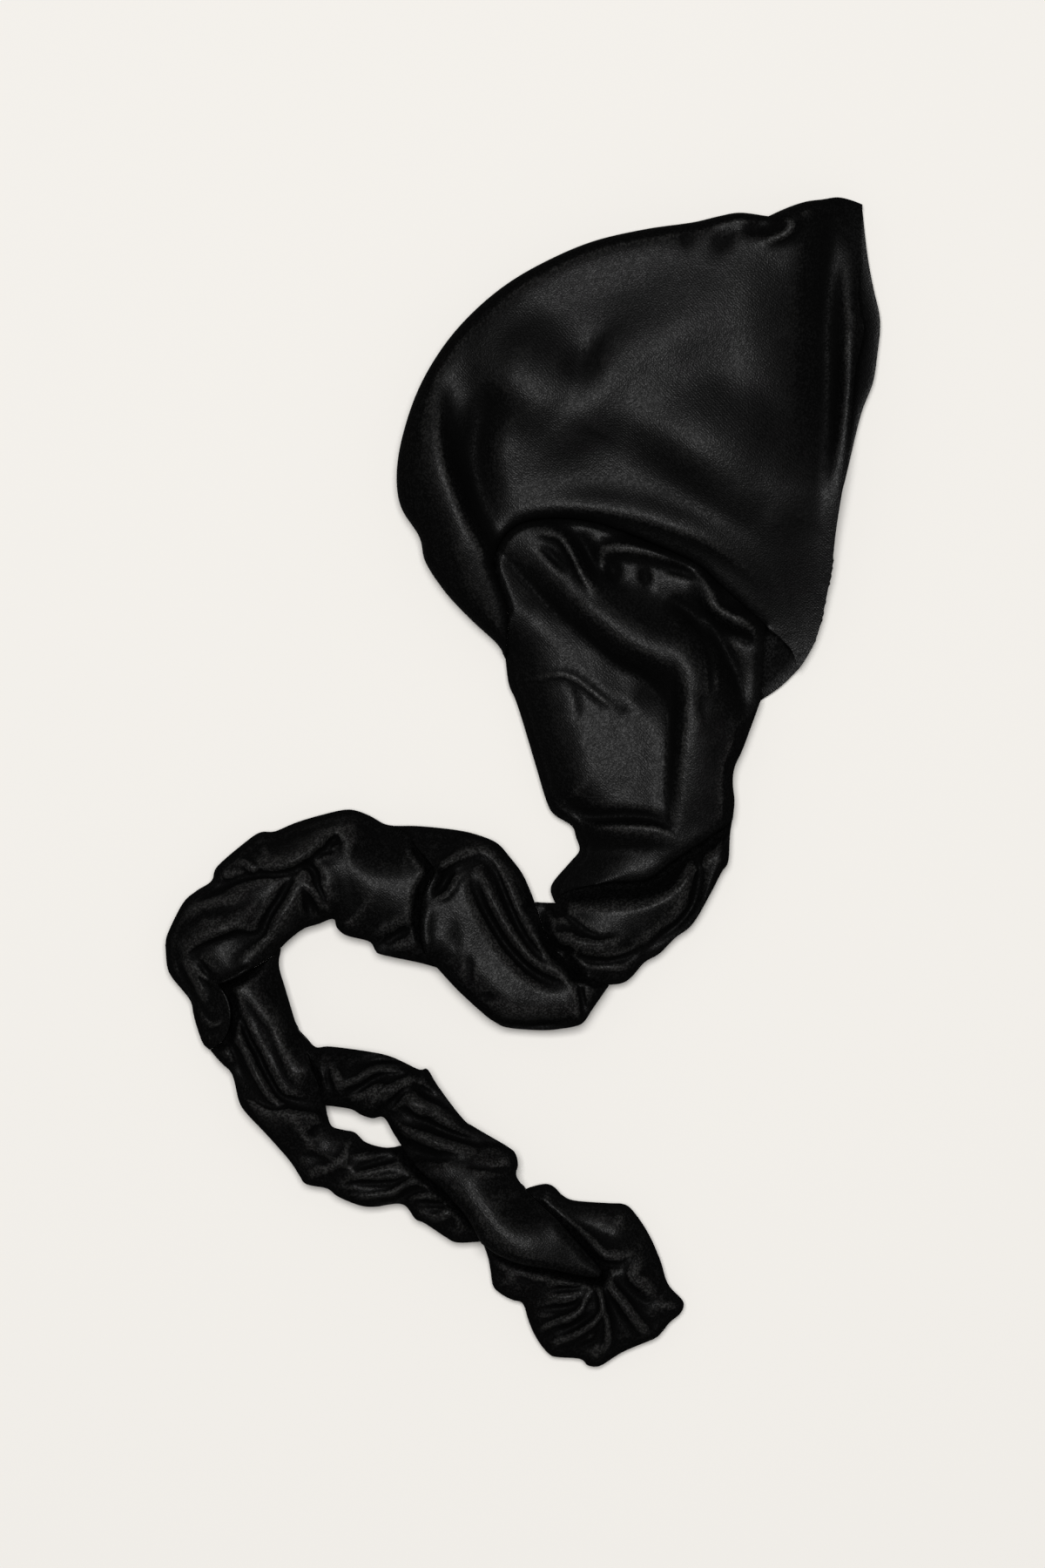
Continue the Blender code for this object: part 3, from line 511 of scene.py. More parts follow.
# Folds: rise as a share of the puff, widths of the left and right flank as shares of
# the hood's depth, and a route (across, up).
hood_folds = [
    # the broad ridge from the nape up to the peak, and the dent above it
    (0.1, 0.17, 0.15, [(0.28, 0.27), (0.3, 0.37), (0.34, 0.43), (0.45, 0.54), (0.55, 0.63), (0.66, 0.71),
        (0.75, 0.78), (0.85, 0.85)]),
    (-0.1, 0.07, 0.07, [(0.48, 0.69), (0.43, 0.63), (0.4, 0.56)]),
    # the dent beside the roll's top
    (0.25, 0.18, 0.13, [(0.16, 0.64), (0.2, 0.625), (0.24, 0.6), (0.29, 0.572), (0.34, 0.534),
        (0.38, 0.505)]),
    # the roll down the back and the deep valley beside it
    (0.36, 0.055, 0.15, [(0.085, 0.6), (0.084, 0.53), (0.092, 0.45), (0.108, 0.37), (0.132, 0.3),
        (0.16, 0.24), (0.19, 0.18), (0.214, 0.12), (0.236, 0.06), (0.25, 0.0)]),
    (-0.26, 0.075, 0.065, [(0.21, 0.57), (0.185, 0.47), (0.178, 0.39), (0.196, 0.3), (0.23, 0.22)]),
    (-0.08, 0.01, 0.01, [(0.12, 0.5), (0.116, 0.45), (0.124, 0.39), (0.138, 0.34)]),
    # the triangular dent in the middle
    (0.22, 0.2, 0.13, [(0.53, 0.55), (0.59, 0.49), (0.66, 0.44), (0.73, 0.39), (0.8, 0.34), (0.86, 0.3)]),
    # the hollow behind the rim, and the rim's rolled edge
    (-0.36, 0.045, 0.2, [(1.0, 0.99), (1.0, 0.87), (0.994, 0.77), (0.99, 0.67), (0.994, 0.59),
        (0.992, 0.5), (0.992, 0.41), (0.985, 0.31)]),
    (0.12, 0.03, 0.03, [(1.046, 0.95), (1.044, 0.85), (1.038, 0.77), (1.044, 0.7), (1.034, 0.62),
        (1.022, 0.52), (1.012, 0.43), (1.0, 0.34), (0.988, 0.24)]),
    # the pleat at the peak
    (0.16, 0.022, 0.02, [(0.855, 0.962), (0.886, 0.948), (0.906, 0.934), (0.896, 0.914), (0.866, 0.902),
        (0.83, 0.894)]),
    (-0.2, 0.03, 0.035, [(0.79, 0.926), (0.84, 0.927), (0.878, 0.926)]),
    (0.1, 0.025, 0.025, [(0.73, 0.934), (0.77, 0.948), (0.81, 0.944), (0.84, 0.95)]),
    (-0.12, 0.035, 0.035, [(0.77, 0.93), (0.752, 0.905), (0.73, 0.874)]),
    (-0.08, 0.025, 0.025, [(0.66, 0.926), (0.664, 0.885)]),
    # the lip over the tail's root, which falls away to the right
    (0.12, 0.08, 0.02, [(0.24, 0.245), (0.29, 0.266), (0.37, 0.276), (0.45, 0.273), (0.53, 0.262),
        (0.61, 0.238), (0.69, 0.208), (0.75, 0.176), (0.81, 0.13), (0.86, 0.075)]),
]


def rounded(gap, radius, fullness):
    """Height share of a bulging edge: 0 on the edge, 1 from the radius inwards."""
    t = 1.0 - np.clip(gap / radius, 0.0, 1.0)
    return (1.0 - t ** fullness) ** (1.0 / fullness)


near_loop = outline_loop([("crown_edge", 1), ("lobe_side", 1), ("arc_edge", 1), ("nape_lip", 1),
                          ("near_rim", 1), ("peak_edge", 1)], NEAR_CELL)
plan, faces, count = plan_mesh(near_loop, NEAR_CELL, NEAR_RINGS)
sewn = seam_distance(plan, NEAR_CELL)
rim = np.vstack([outline_line("nape_lip", NEAR_CELL), outline_line("near_rim", NEAR_CELL)[1:]])
rim_gap, _, rim_place = line_distance(plan, rim)
rim_share = rim_place / rim_place.max()
crown_gap = seam_distance(plan, NEAR_CELL, ("crown_edge", "peak_edge"))
arc_gap = seam_distance(plan, NEAR_CELL, ("lobe_side", "arc_edge"))
rise = np.ones(len(plan))
for share, left, right, route in hood_folds:
    rise += share * fold_rise(plan, [hood_point(*p) for p in route],
                              left * HOOD_DEPTH, right * HOOD_DEPTH, share > 0.0)
puff = PUFF * (CROWN_SHARE + (1.0 - CROWN_SHARE) * smooth_step(sewn / CROWN_DOME)) * rise
for wave_height, size, seed in (BROAD_RIPPLE, SMALL_RIPPLE):
    puff += wave_height * ripple(plan, size, seed)
mouth = smooth_step((1.0 - rim_share) / MOUTH_SHARE) ** MOUTH_FULLNESS
rim_height = SEAM_HEIGHT + CLOTH + MOUTH * mouth
hold = smooth_step(1.0 - rim_gap / RIM_REACH) * smooth_step(rim_share / RIM_START)
height = puff + (rim_height * rise - puff) * hold
tip = outline_line("nape_lip", NEAR_CELL)[-1]
tip_gap = np.linalg.norm(plan - tip, axis=1)
lowered = TIP_SHARE + (1.0 - TIP_SHARE) * smooth_step(tip_gap / TIP_REACH)
height = SEAM_HEIGHT + (height - SEAM_HEIGHT) * lowered
height = settled(height, faces, np.zeros(len(plan), dtype=bool), PUFF_PASSES)
lip = ARC_LIP + (1.0 - ARC_LIP) * rounded(arc_gap, ARC_ROUND, LIP_FULLNESS)
height = SEAM_HEIGHT + (height - SEAM_HEIGHT) * rounded(crown_gap, CROWN_ROUND, CROWN_FULLNESS) * lip
outer = np.column_stack([plan, height])
# Painted highlight on the crests, painted shade in the creases, on steep flanks and along the crown's
# edge.
shade_and_pile = painted_shade_and_pile(outer, faces, NEAR_CELL, np.minimum(sewn, rim_gap), crown_gap, PLAIN_SHADE)
near_side = two_faced("hood_near_panel", outer, faces, count, sewn, SEAM_HEIGHT, shade_and_pile)
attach(near_side, "root")
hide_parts("hood_near_side")

# The neck, the tail's wide root, which comes out from under the hood's lip.
# Its cloth is gathered into the nape and drawn together towards the first turn, where
# its foot lies over the next stretch.

NECK_ACROSS = 0.47
neck_middle = hood_corner[0] + NECK_ACROSS * HOOD_DEPTH
TAIL_WIDTH = neck_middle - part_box("tail_bend")[0][0]
TAIL_LENGTH = HOOD_HEIGHT
TAIL_CELL = 0.0010
TAIL_RINGS = (0.00012, 0.0004, 0.0009, 0.0017)
PLAN_GAP = 0.0001
TAIL_PASSES = 3
# Weaker painted shade on the steep flanks of the wound stretches below the neck.
TAIL_STEEP_SHADE = 0.08
# Open edges: how far the height falls towards them, as a share of it, and over what width.
open_edges = {"free": (0.42, 0.032), "flat": (0.28, 0.020), "crease": (0.20, 0.008),
              "fan": (0.50, 0.024), "hem": (0.46, 0.028)}
# Covered edges: the share of the height left at them, the part of the step that is
# already done there, and the step's width.
covered_edges = {"deep": (0.40, 0.04, 0.017), "gather": (0.90, 0.05, 0.004),
                 "tuck": (0.68, 0.05, 0.007)}
LIP_SHARE = 0.86
LIP_ROUND = 0.008
# A sewn hem: a flat strip with a stitched ridge along it.
HEM_WIDTH = 0.0045
HEM_SLOPE = 0.10
HEM_RIDGE = 0.035
FAN_HEM_WIDTH = 0.0024
FAN_HEM_RIDGE = 0.04
RIDGE_WIDTH = 0.0008
SWAY_SIZE = 0.030
CREASE_HEIGHT = 0.00015
CREASE_SIZE = 0.010
CREASE_SEED = 5.0
# How the sides turn in towards the ground, and that they stand upright beside a neighbour.
UNDER_ROUND = 0.004
UNDER_START = 0.001
UNDER_REACH = 0.012
UNDER_STEPS = (0.35, 0.7, 0.92, 1.0)

# Outline lines of the tail: (across, down), shares of its width and length.
tail_lines.update({
    "neck_left": [
        (0.78, 0.064), (0.788, 0.122), (0.804, 0.16), (0.822, 0.216), (0.85, 0.31), (0.874, 0.39),
        (0.892, 0.422), (0.932, 0.448), (0.942, 0.474), (0.95, 0.504), (0.93, 0.53), (0.892, 0.574),
        (0.884, 0.598), (0.894, 0.626)],
    "neck_foot": [
        (0.894, 0.626), (0.906, 0.61), (0.924, 0.598), (0.956, 0.588), (1.02, 0.578), (1.104, 0.572),
        (1.164, 0.53), (1.222, 0.492), (1.276, 0.454), (1.302, 0.434)],
    "neck_right": [
        (1.302, 0.434), (1.306, 0.39), (1.302, 0.35), (1.306, 0.314), (1.324, 0.274), (1.342, 0.226),
        (1.366, 0.16)],
})
# Folds of the neck: rise as a share of its thickness, widths of the left and right flank
# as shares of the tail's width, and a route (across, down).
neck_folds = [
    # the great fold from the left end of the hood's lip, down to the foot
    (0.42, 0.12, 0.13, [(0.81, -0.235), (0.864, -0.166), (0.92, -0.106), (0.97, -0.056), (1.02, -0.018),
        (1.1, 0.03), (1.17, 0.064), (1.202, 0.114), (1.202, 0.174), (1.194, 0.25), (1.186, 0.33),
        (1.17, 0.41), (1.16, 0.47), (1.15, 0.55)]),
    # the deep valley along its lower side
    (-0.27, 0.066, 0.062, [(0.7, -0.27), (0.758, -0.192), (0.82, -0.124), (0.888, -0.049), (0.958, 0.014),
        (1.032, 0.076), (1.1, 0.115), (1.148, 0.18), (1.15, 0.26), (1.14, 0.34)]),
    (-0.2, 0.038, 0.095, [(1.162, 0.06), (1.16, 0.16), (1.156, 0.26), (1.15, 0.36), (1.142, 0.48)]),
    # pleats gathered under the lip
    (0.2, 0.032, 0.036, [(0.99, -0.145), (1.004, -0.178), (1.04, -0.19), (1.1, -0.184), (1.16, -0.168),
        (1.21, -0.148)]),
    (0.18, 0.036, 0.02, [(0.84, -0.23), (0.9, -0.216), (0.93, -0.18), (0.954, -0.13), (0.99, -0.08)]),
    (-0.14, 0.02, 0.02, [(0.86, -0.196), (0.892, -0.168), (0.922, -0.136)]),
    (-0.26, 0.034, 0.034, [(0.944, -0.226), (0.97, -0.18), (0.998, -0.128)]),
    (-0.24, 0.03, 0.03, [(1.018, -0.162), (1.034, -0.112)]),
    (-0.16, 0.022, 0.022, [(1.094, -0.145), (1.106, -0.105)]),
    (-0.14, 0.018, 0.018, [(1.14, -0.148), (1.19, -0.134), (1.216, -0.12)]),
    (-0.26, 0.04, 0.04, [(1.15, -0.075), (1.2, -0.045), (1.235, 0.0)]),
    # the right hand pleat and the valley left of it
    (0.26, 0.035, 0.045, [(1.215, -0.14), (1.244, -0.09), (1.264, -0.05), (1.3, -0.03), (1.35, -0.012),
        (1.372, 0.03), (1.37, 0.09)]),
    (-0.26, 0.05, 0.05, [(1.215, -0.07), (1.25, -0.02), (1.286, 0.05), (1.316, 0.12), (1.33, 0.21)]),
    (-0.12, 0.022, 0.022, [(1.28, 0.005), (1.32, 0.015), (1.35, 0.035)]),
    (-0.06, 0.01, 0.01, [(1.225, 0.01), (1.246, 0.05), (1.254, 0.1), (1.25, 0.15)]),
    (-0.06, 0.04, 0.04, [(1.23, 0.14), (1.235, 0.21)]),
    # the flat right side, down to the foot
    (0.13, 0.04, 0.1, [(1.3, 0.14), (1.295, 0.22), (1.285, 0.3), (1.27, 0.38), (1.25, 0.46)]),
    # small creases on the flat of the neck
    (0.05, 0.014, 0.014, [(0.84, 0.116), (0.9, 0.1), (0.94, 0.11), (0.98, 0.14), (1.02, 0.17),
        (1.06, 0.18)]),
    (-0.04, 0.012, 0.012, [(0.91, 0.125), (0.94, 0.14), (0.95, 0.18), (0.94, 0.21)]),
    (-0.05, 0.025, 0.025, [(1.03, 0.17), (1.07, 0.19)]),
    # the crest over the foot and the valley above it
    (0.16, 0.016, 0.075, [(0.935, 0.434), (0.97, 0.445), (1.02, 0.447), (1.1, 0.446), (1.14, 0.458),
        (1.18, 0.484)]),
    (-0.2, 0.032, 0.024, [(0.9, 0.37), (0.94, 0.41), (0.98, 0.427), (1.06, 0.426), (1.13, 0.436),
        (1.168, 0.462)]),
    (-0.1, 0.05, 0.05, [(0.94, 0.515), (1.02, 0.505), (1.1, 0.5), (1.16, 0.5)]),
]


def tail_point(across, down):
    return (neck_middle + (across - 1.0) * TAIL_WIDTH, hood_corner[1] - down * TAIL_LENGTH)


def stitched(gap, place, height):
    """The low ridge of a stitched hem."""
    return height * np.exp(-((gap - place) / RIDGE_WIDTH) ** 2)


def edge_share(kind, gap):
    """Share of a wound piece's height near one of its edges."""
    if kind == "lip":
        return LIP_SHARE + (1.0 - LIP_SHARE) * rounded(gap, LIP_ROUND, LIP_FULLNESS)
    if kind in covered_edges:
        left, done, width = covered_edges[kind]
        return left + (1.0 - left) * smooth_step(done + (1.0 - done) * gap / width)
    fall, width = open_edges[kind]
    if kind == "hem":
        strip = 1.0 - fall - HEM_SLOPE * (1.0 - np.clip(gap / HEM_WIDTH, 0.0, 1.0))
        rise = fall * (1.0 - (1.0 - np.clip((gap - HEM_WIDTH) / width, 0.0, 1.0)) ** 2)
        return strip + stitched(gap, HEM_WIDTH, HEM_RIDGE) + rise
    share = 1.0 - fall * (1.0 - np.clip(gap / width, 0.0, 1.0)) ** 2
    return share + stitched(gap, FAN_HEM_WIDTH, FAN_HEM_RIDGE) if kind == "fan" else share


def wound_cloth(name, node, thickness, sides, folds, sway, seed, shade=TAIL_STEEP_SHADE):
    """A wound stretch of the tail: folded top, bulging sides turned in under it."""
    loop = outline_loop([(line, direction) for line, direction, kind in sides], TAIL_CELL)
    loop = drawn_in(loop, PLAN_GAP)
    plan, faces, count = plan_mesh(loop, TAIL_CELL, TAIL_RINGS)
    height = np.ones(len(plan))
    for rise, left, right, route in folds:
        height += rise * fold_rise(plan, [tail_point(*p) for p in route],
                                   left * TAIL_WIDTH, right * TAIL_WIDTH, rise > 0.0)
    creases = CREASE_HEIGHT * ripple(plan, CREASE_SIZE, seed + CREASE_SEED)
    height += (sway * ripple(plan, SWAY_SIZE, seed) + creases) / thickness
    edge = np.ones(len(plan))
    under = np.full(count, UNDER_ROUND)
    edge_gap = np.full(len(plan), np.inf)
    open_gap = np.full(len(plan), np.inf)
    for line, direction, kind in sides:
        gap = line_distance(plan, outline_line(line, TAIL_CELL))[0]
        edge_gap = np.minimum(edge_gap, gap)
        if kind in open_edges:
            open_gap = np.minimum(open_gap, gap)
        else:
            turn_in = smooth_step((gap[:count] - UNDER_START) / UNDER_REACH)
            under = np.minimum(under, UNDER_ROUND * turn_in)
        share = edge_share(kind, gap)
        edge = edge * share if kind in covered_edges else np.minimum(edge, share)
    height = settled(thickness * height * edge, faces, np.arange(len(plan)) < count, TAIL_PASSES)
    top = np.column_stack([plan, height])
    border = top[:count]
    rings = [top]
    walls = []
    upper = np.arange(count)
    for share in UNDER_STEPS:
        ring = np.column_stack([drawn_in(border[:, :2], under * share ** 2),
                                border[:, 2] * (1.0 - share)])
        lower = np.arange(count) + sum(len(part) for part in rings)
        rings.append(ring)
        ahead = np.roll(np.arange(count), -1)
        walls += [(upper[i], lower[i], lower[ahead[i]], upper[ahead[i]]) for i in range(count)]
        upper = lower
    # Its points carry painted highlight on crests and painted shade in creases, on steep flanks and along
    # open edges.
    piece = add_cloth(name, np.vstack(rings), list(faces) + walls + [upper[::-1]],
                      painted_shade_and_pile(top, faces, TAIL_CELL, edge_gap, open_gap, shade))
    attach(piece, "root")
    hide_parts(node)


NECK_CREST = 1.34
NECK_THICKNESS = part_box("tail_neck")[1][2] / NECK_CREST
wound_cloth("neck_cloth", "tail_neck", NECK_THICKNESS, [
    ("lobe_side", 1, "gather"), ("arc_edge", 1, "gather"), ("neck_shoulder", 1, "flat"),
    ("neck_right", -1, "crease"), ("neck_foot", -1, "lip"), ("neck_left", -1, "hem")],
    neck_folds, sway=0.0006, seed=11.0, shade=PLAIN_SHADE)

# The first turn, a short stretch that twists the tail to the left.
# It comes from under the neck's foot and lies over the twist at its own foot.

TURN_THICKNESS = 0.030
tail_lines.update({
    "turn_right": [
        (1.302, 0.434), (1.296, 0.47), (1.292, 0.53), (1.276, 0.556), (1.25, 0.606), (1.21, 0.674),
        (1.17, 0.706), (1.134, 0.742), (1.1, 0.762), (1.07, 0.796), (1.048, 0.81), (1.018, 0.814)],
    "turn_foot": [(1.018, 0.814), (0.996, 0.808), (0.972, 0.794), (0.944, 0.786)],
    "turn_left": [
        (0.944, 0.786), (0.92, 0.758), (0.896, 0.734), (0.874, 0.7), (0.86, 0.66), (0.848, 0.624)],
    "turn_top": [(0.848, 0.624), (0.872, 0.624), (0.894, 0.626)],
})
turn_folds = [
    # the small loop of cloth where the turn meets the twist
    (0.2, 0.022, 0.04, [(0.89, 0.724), (0.902, 0.706), (0.924, 0.702), (0.95, 0.714), (1.0, 0.718),
        (1.06, 0.706)]),
    (-0.34, 0.026, 0.026, [(0.902, 0.73), (0.94, 0.734)]),
    (-0.16, 0.016, 0.016, [(0.93, 0.74), (0.97, 0.756), (1.02, 0.758), (1.07, 0.744), (1.11, 0.716)]),
    # the crease along the right side and the strip beyond it
    (-0.3, 0.024, 0.026, [(1.21, 0.46), (1.226, 0.53), (1.222, 0.58), (1.21, 0.63), (1.18, 0.67),
        (1.14, 0.7), (1.11, 0.726), (1.086, 0.76)]),
    (0.12, 0.018, 0.04, [(1.196, 0.5), (1.2, 0.55), (1.19, 0.6), (1.16, 0.64)]),
    (0.14, 0.016, 0.02, [(1.28, 0.46), (1.274, 0.52), (1.25, 0.59), (1.22, 0.65), (1.17, 0.71)]),
    (-0.1, 0.014, 0.014, [(0.9, 0.64), (0.94, 0.67), (0.98, 0.7), (1.02, 0.708)]),
    (0.08, 0.01, 0.01, [(1.02, 0.772), (1.08, 0.776)]),
]
wound_cloth("turn_cloth", "tail_turn", TURN_THICKNESS, [
    ("neck_foot", 1, "deep"), ("turn_right", 1, "free"), ("turn_foot", 1, "lip"),
    ("turn_left", 1, "tuck"), ("turn_top", 1, "free")], turn_folds, sway=0.0008, seed=21.0)

# The twist, the fat stretch left of the first turn.
# Its upper part is wound over the turn's left side and its left end lies over the bend.

TWIST_THICKNESS = 0.036
tail_lines.update({
    "twist_top": [
        (0.848, 0.624), (0.84, 0.602), (0.82, 0.558), (0.79, 0.518), (0.76, 0.486), (0.71, 0.466),
        (0.66, 0.456), (0.58, 0.448), (0.524, 0.448)],
    "twist_side": [
        (0.524, 0.448), (0.552, 0.464), (0.576, 0.494), (0.616, 0.548), (0.594, 0.6), (0.586, 0.646),
        (0.586, 0.694), (0.598, 0.74), (0.624, 0.774)],
    "twist_foot": [
        (0.624, 0.774), (0.67, 0.824), (0.724, 0.874), (0.752, 0.896), (0.786, 0.912), (0.864, 0.918),
        (0.91, 0.914), (0.948, 0.906), (0.964, 0.894), (0.978, 0.872), (1.018, 0.814)],
})
twist_folds = [
    # the two long pleats of the upper edge and the valleys between them
    (0.26, 0.05, 0.026, [(0.62, 0.544), (0.66, 0.53), (0.7, 0.506), (0.73, 0.5), (0.76, 0.52),
        (0.78, 0.55), (0.8, 0.6), (0.82, 0.65), (0.844, 0.7), (0.87, 0.74), (0.9, 0.76)]),
    (-0.2, 0.018, 0.018, [(0.745, 0.53), (0.77, 0.58), (0.79, 0.63), (0.82, 0.69), (0.85, 0.73),
        (0.89, 0.765)]),
    (0.12, 0.016, 0.016, [(0.715, 0.53), (0.74, 0.59), (0.77, 0.65), (0.8, 0.7), (0.83, 0.74),
        (0.86, 0.766), (0.92, 0.786)]),
    (-0.28, 0.022, 0.03, [(0.7, 0.55), (0.72, 0.61), (0.75, 0.67), (0.79, 0.73), (0.84, 0.78),
        (0.89, 0.806), (0.93, 0.81)]),
    # the pocket at the left end
    (-0.3, 0.026, 0.026, [(0.66, 0.545), (0.64, 0.58), (0.618, 0.61)]),
    (0.16, 0.02, 0.012, [(0.616, 0.552), (0.65, 0.532), (0.69, 0.508)]),
    (0.1, 0.012, 0.012, [(0.672, 0.555), (0.65, 0.598), (0.614, 0.618)]),
    (0.08, 0.03, 0.016, [(0.604, 0.62), (0.592, 0.67), (0.596, 0.72), (0.612, 0.76)]),
    # the lower edge and small creases
    (-0.34, 0.04, 0.052, [(0.735, 0.872), (0.77, 0.897), (0.82, 0.906), (0.9, 0.902), (0.945, 0.888)]),
    (-0.18, 0.016, 0.016, [(0.944, 0.795), (0.956, 0.84), (0.96, 0.88)]),
    (-0.05, 0.014, 0.014, [(0.7, 0.74), (0.7, 0.82)]),
    (-0.06, 0.022, 0.022, [(0.73, 0.835), (0.76, 0.842)]),
    (-0.05, 0.03, 0.03, [(0.66, 0.66), (0.67, 0.74)]),
]
wound_cloth("twist_cloth", "tail_twist", TWIST_THICKNESS, [
    ("turn_left", -1, "tuck"), ("turn_foot", -1, "tuck"), ("twist_foot", -1, "flat"),
    ("twist_side", -1, "lip"), ("twist_top", -1, "hem")], twist_folds, sway=0.0009, seed=31.0)

# The bend, where the tail turns downwards.
# It comes from under the twist, and its tip and lower lip lie over the drop.

BEND_THICKNESS = 0.036
tail_lines.update({
    "bend_top": [
        (0.524, 0.448), (0.5, 0.442), (0.464, 0.422), (0.42, 0.41), (0.36, 0.422), (0.3, 0.44),
        (0.252, 0.46), (0.22, 0.462), (0.19, 0.48), (0.12, 0.54), (0.106, 0.574), (0.07, 0.598),
        (0.04, 0.626), (0.006, 0.694), (0.0, 0.722)],
    "bend_outer": [
        (0.0, 0.722), (0.004, 0.77), (0.016, 0.798), (0.056, 0.848), (0.064, 0.88), (0.072, 0.91),
        (0.086, 0.948), (0.102, 0.964)],
    "bend_tip": [
        (0.102, 0.964), (0.132, 0.942), (0.148, 0.914), (0.154, 0.874), (0.146, 0.842), (0.124, 0.81)],
    "bend_lip": [(0.124, 0.81), (0.152, 0.802), (0.18, 0.788), (0.24, 0.752), (0.264, 0.73)],
    "bend_foot": [
        (0.264, 0.73), (0.292, 0.704), (0.32, 0.684), (0.352, 0.674), (0.386, 0.662), (0.394, 0.682),
        (0.416, 0.7), (0.468, 0.714), (0.482, 0.734), (0.496, 0.744), (0.58, 0.762), (0.624, 0.774)],
})
bend_folds = [
    # the fold that runs up to the top and the small tuck at its end
    (0.36, 0.07, 0.022, [(0.2, 0.566), (0.26, 0.544), (0.31, 0.52), (0.35, 0.49), (0.37, 0.47),
        (0.394, 0.458), (0.416, 0.476), (0.42, 0.506)]),
    (-0.18, 0.012, 0.012, [(0.38, 0.49), (0.394, 0.472)]),
    (-0.1, 0.01, 0.01, [(0.35, 0.507), (0.386, 0.506)]),
    (0.1, 0.012, 0.012, [(0.155, 0.534), (0.18, 0.53), (0.2, 0.546), (0.212, 0.562)]),
    # the crease below it and the plateau's edges
    (-0.3, 0.035, 0.016, [(0.07, 0.615), (0.12, 0.595), (0.16, 0.577), (0.2, 0.565), (0.26, 0.556),
        (0.31, 0.548)]),
    (0.14, 0.016, 0.03, [(0.012, 0.7), (0.04, 0.66), (0.07, 0.634), (0.1, 0.624), (0.16, 0.61),
        (0.2, 0.59)]),
    (0.34, 0.11, 0.02, [(0.044, 0.752), (0.06, 0.722), (0.1, 0.7), (0.14, 0.684), (0.17, 0.676),
        (0.215, 0.682)]),
    (0.16, 0.014, 0.014, [(0.05, 0.742), (0.09, 0.79), (0.124, 0.808), (0.18, 0.784), (0.235, 0.748)]),
    (-0.26, 0.024, 0.024, [(0.3, 0.552), (0.27, 0.61), (0.244, 0.65), (0.226, 0.69), (0.2, 0.72)]),
    (0.24, 0.055, 0.04, [(0.31, 0.56), (0.29, 0.62), (0.264, 0.67), (0.23, 0.72), (0.2, 0.75),
        (0.18, 0.774), (0.144, 0.794)]),
    (0.14, 0.014, 0.02, [(0.32, 0.575), (0.345, 0.6), (0.365, 0.63), (0.376, 0.655)]),
    (-0.2, 0.024, 0.024, [(0.324, 0.6), (0.336, 0.655)]),
    (-0.26, 0.022, 0.022, [(0.316, 0.536), (0.34, 0.548), (0.36, 0.58)]),
    (0.14, 0.06, 0.012, [(0.345, 0.545), (0.362, 0.575), (0.374, 0.615), (0.384, 0.665)]),
    # the slope of the right hand part and the hollow at its foot
    (-0.46, 0.17, 0.17, [(0.41, 0.4), (0.46, 0.405), (0.52, 0.43), (0.57, 0.44)]),
    (-0.26, 0.034, 0.034, [(0.485, 0.735), (0.53, 0.7), (0.58, 0.68)]),
    # the outer side, down to the tip
    (0.2, 0.022, 0.018, [(0.046, 0.75), (0.064, 0.79), (0.08, 0.82), (0.098, 0.862)]),
    (-0.14, 0.016, 0.016, [(0.03, 0.76), (0.056, 0.82), (0.08, 0.875)]),
    (-0.16, 0.022, 0.022, [(0.085, 0.765), (0.11, 0.815)]),
    (0.08, 0.01, 0.01, [(0.05, 0.84), (0.09, 0.89), (0.114, 0.906), (0.144, 0.895)]),
    (-0.1, 0.014, 0.014, [(0.09, 0.93), (0.12, 0.915), (0.145, 0.9)]),
]
wound_cloth("bend_cloth", "tail_bend", BEND_THICKNESS, [
    ("twist_side", 1, "tuck"), ("bend_foot", -1, "free"), ("bend_lip", -1, "lip"),
    ("bend_tip", -1, "lip"), ("bend_outer", -1, "hem"), ("bend_top", -1, "hem")], bend_folds,
    sway=0.0010, seed=41.0)

# The drop, the stretch that runs down and to the right as the outer side of the loop.
# It comes from under the bend and goes on under the return.

DROP_THICKNESS = 0.033
tail_lines.update({
    "drop_right": [(0.264, 0.73), (0.262, 0.77), (0.276, 0.82), (0.306, 0.92)],
    "drop_side": [(0.306, 0.92), (0.324, 0.96), (0.344, 1.014), (0.366, 1.09)],
    "drop_inner": [
        (0.366, 1.09), (0.374, 1.116), (0.384, 1.138), (0.41, 1.146), (0.436, 1.152), (0.46, 1.174),
        (0.5, 1.186), (0.544, 1.186)],
    "under_side": [
        (0.544, 1.186), (0.57, 1.22), (0.6, 1.25), (0.63, 1.274), (0.66, 1.306), (0.69, 1.34),
        (0.726, 1.404)],
    "drop_foot": [
        (0.726, 1.404), (0.67, 1.406), (0.644, 1.394), (0.596, 1.362), (0.574, 1.352), (0.544, 1.318),
        (0.48, 1.324), (0.444, 1.32), (0.396, 1.3), (0.372, 1.282), (0.324, 1.272), (0.308, 1.252),
        (0.284, 1.216), (0.226, 1.15), (0.19, 1.112), (0.17, 1.082), (0.154, 1.02), (0.13, 0.994),
        (0.102, 0.964)],
})
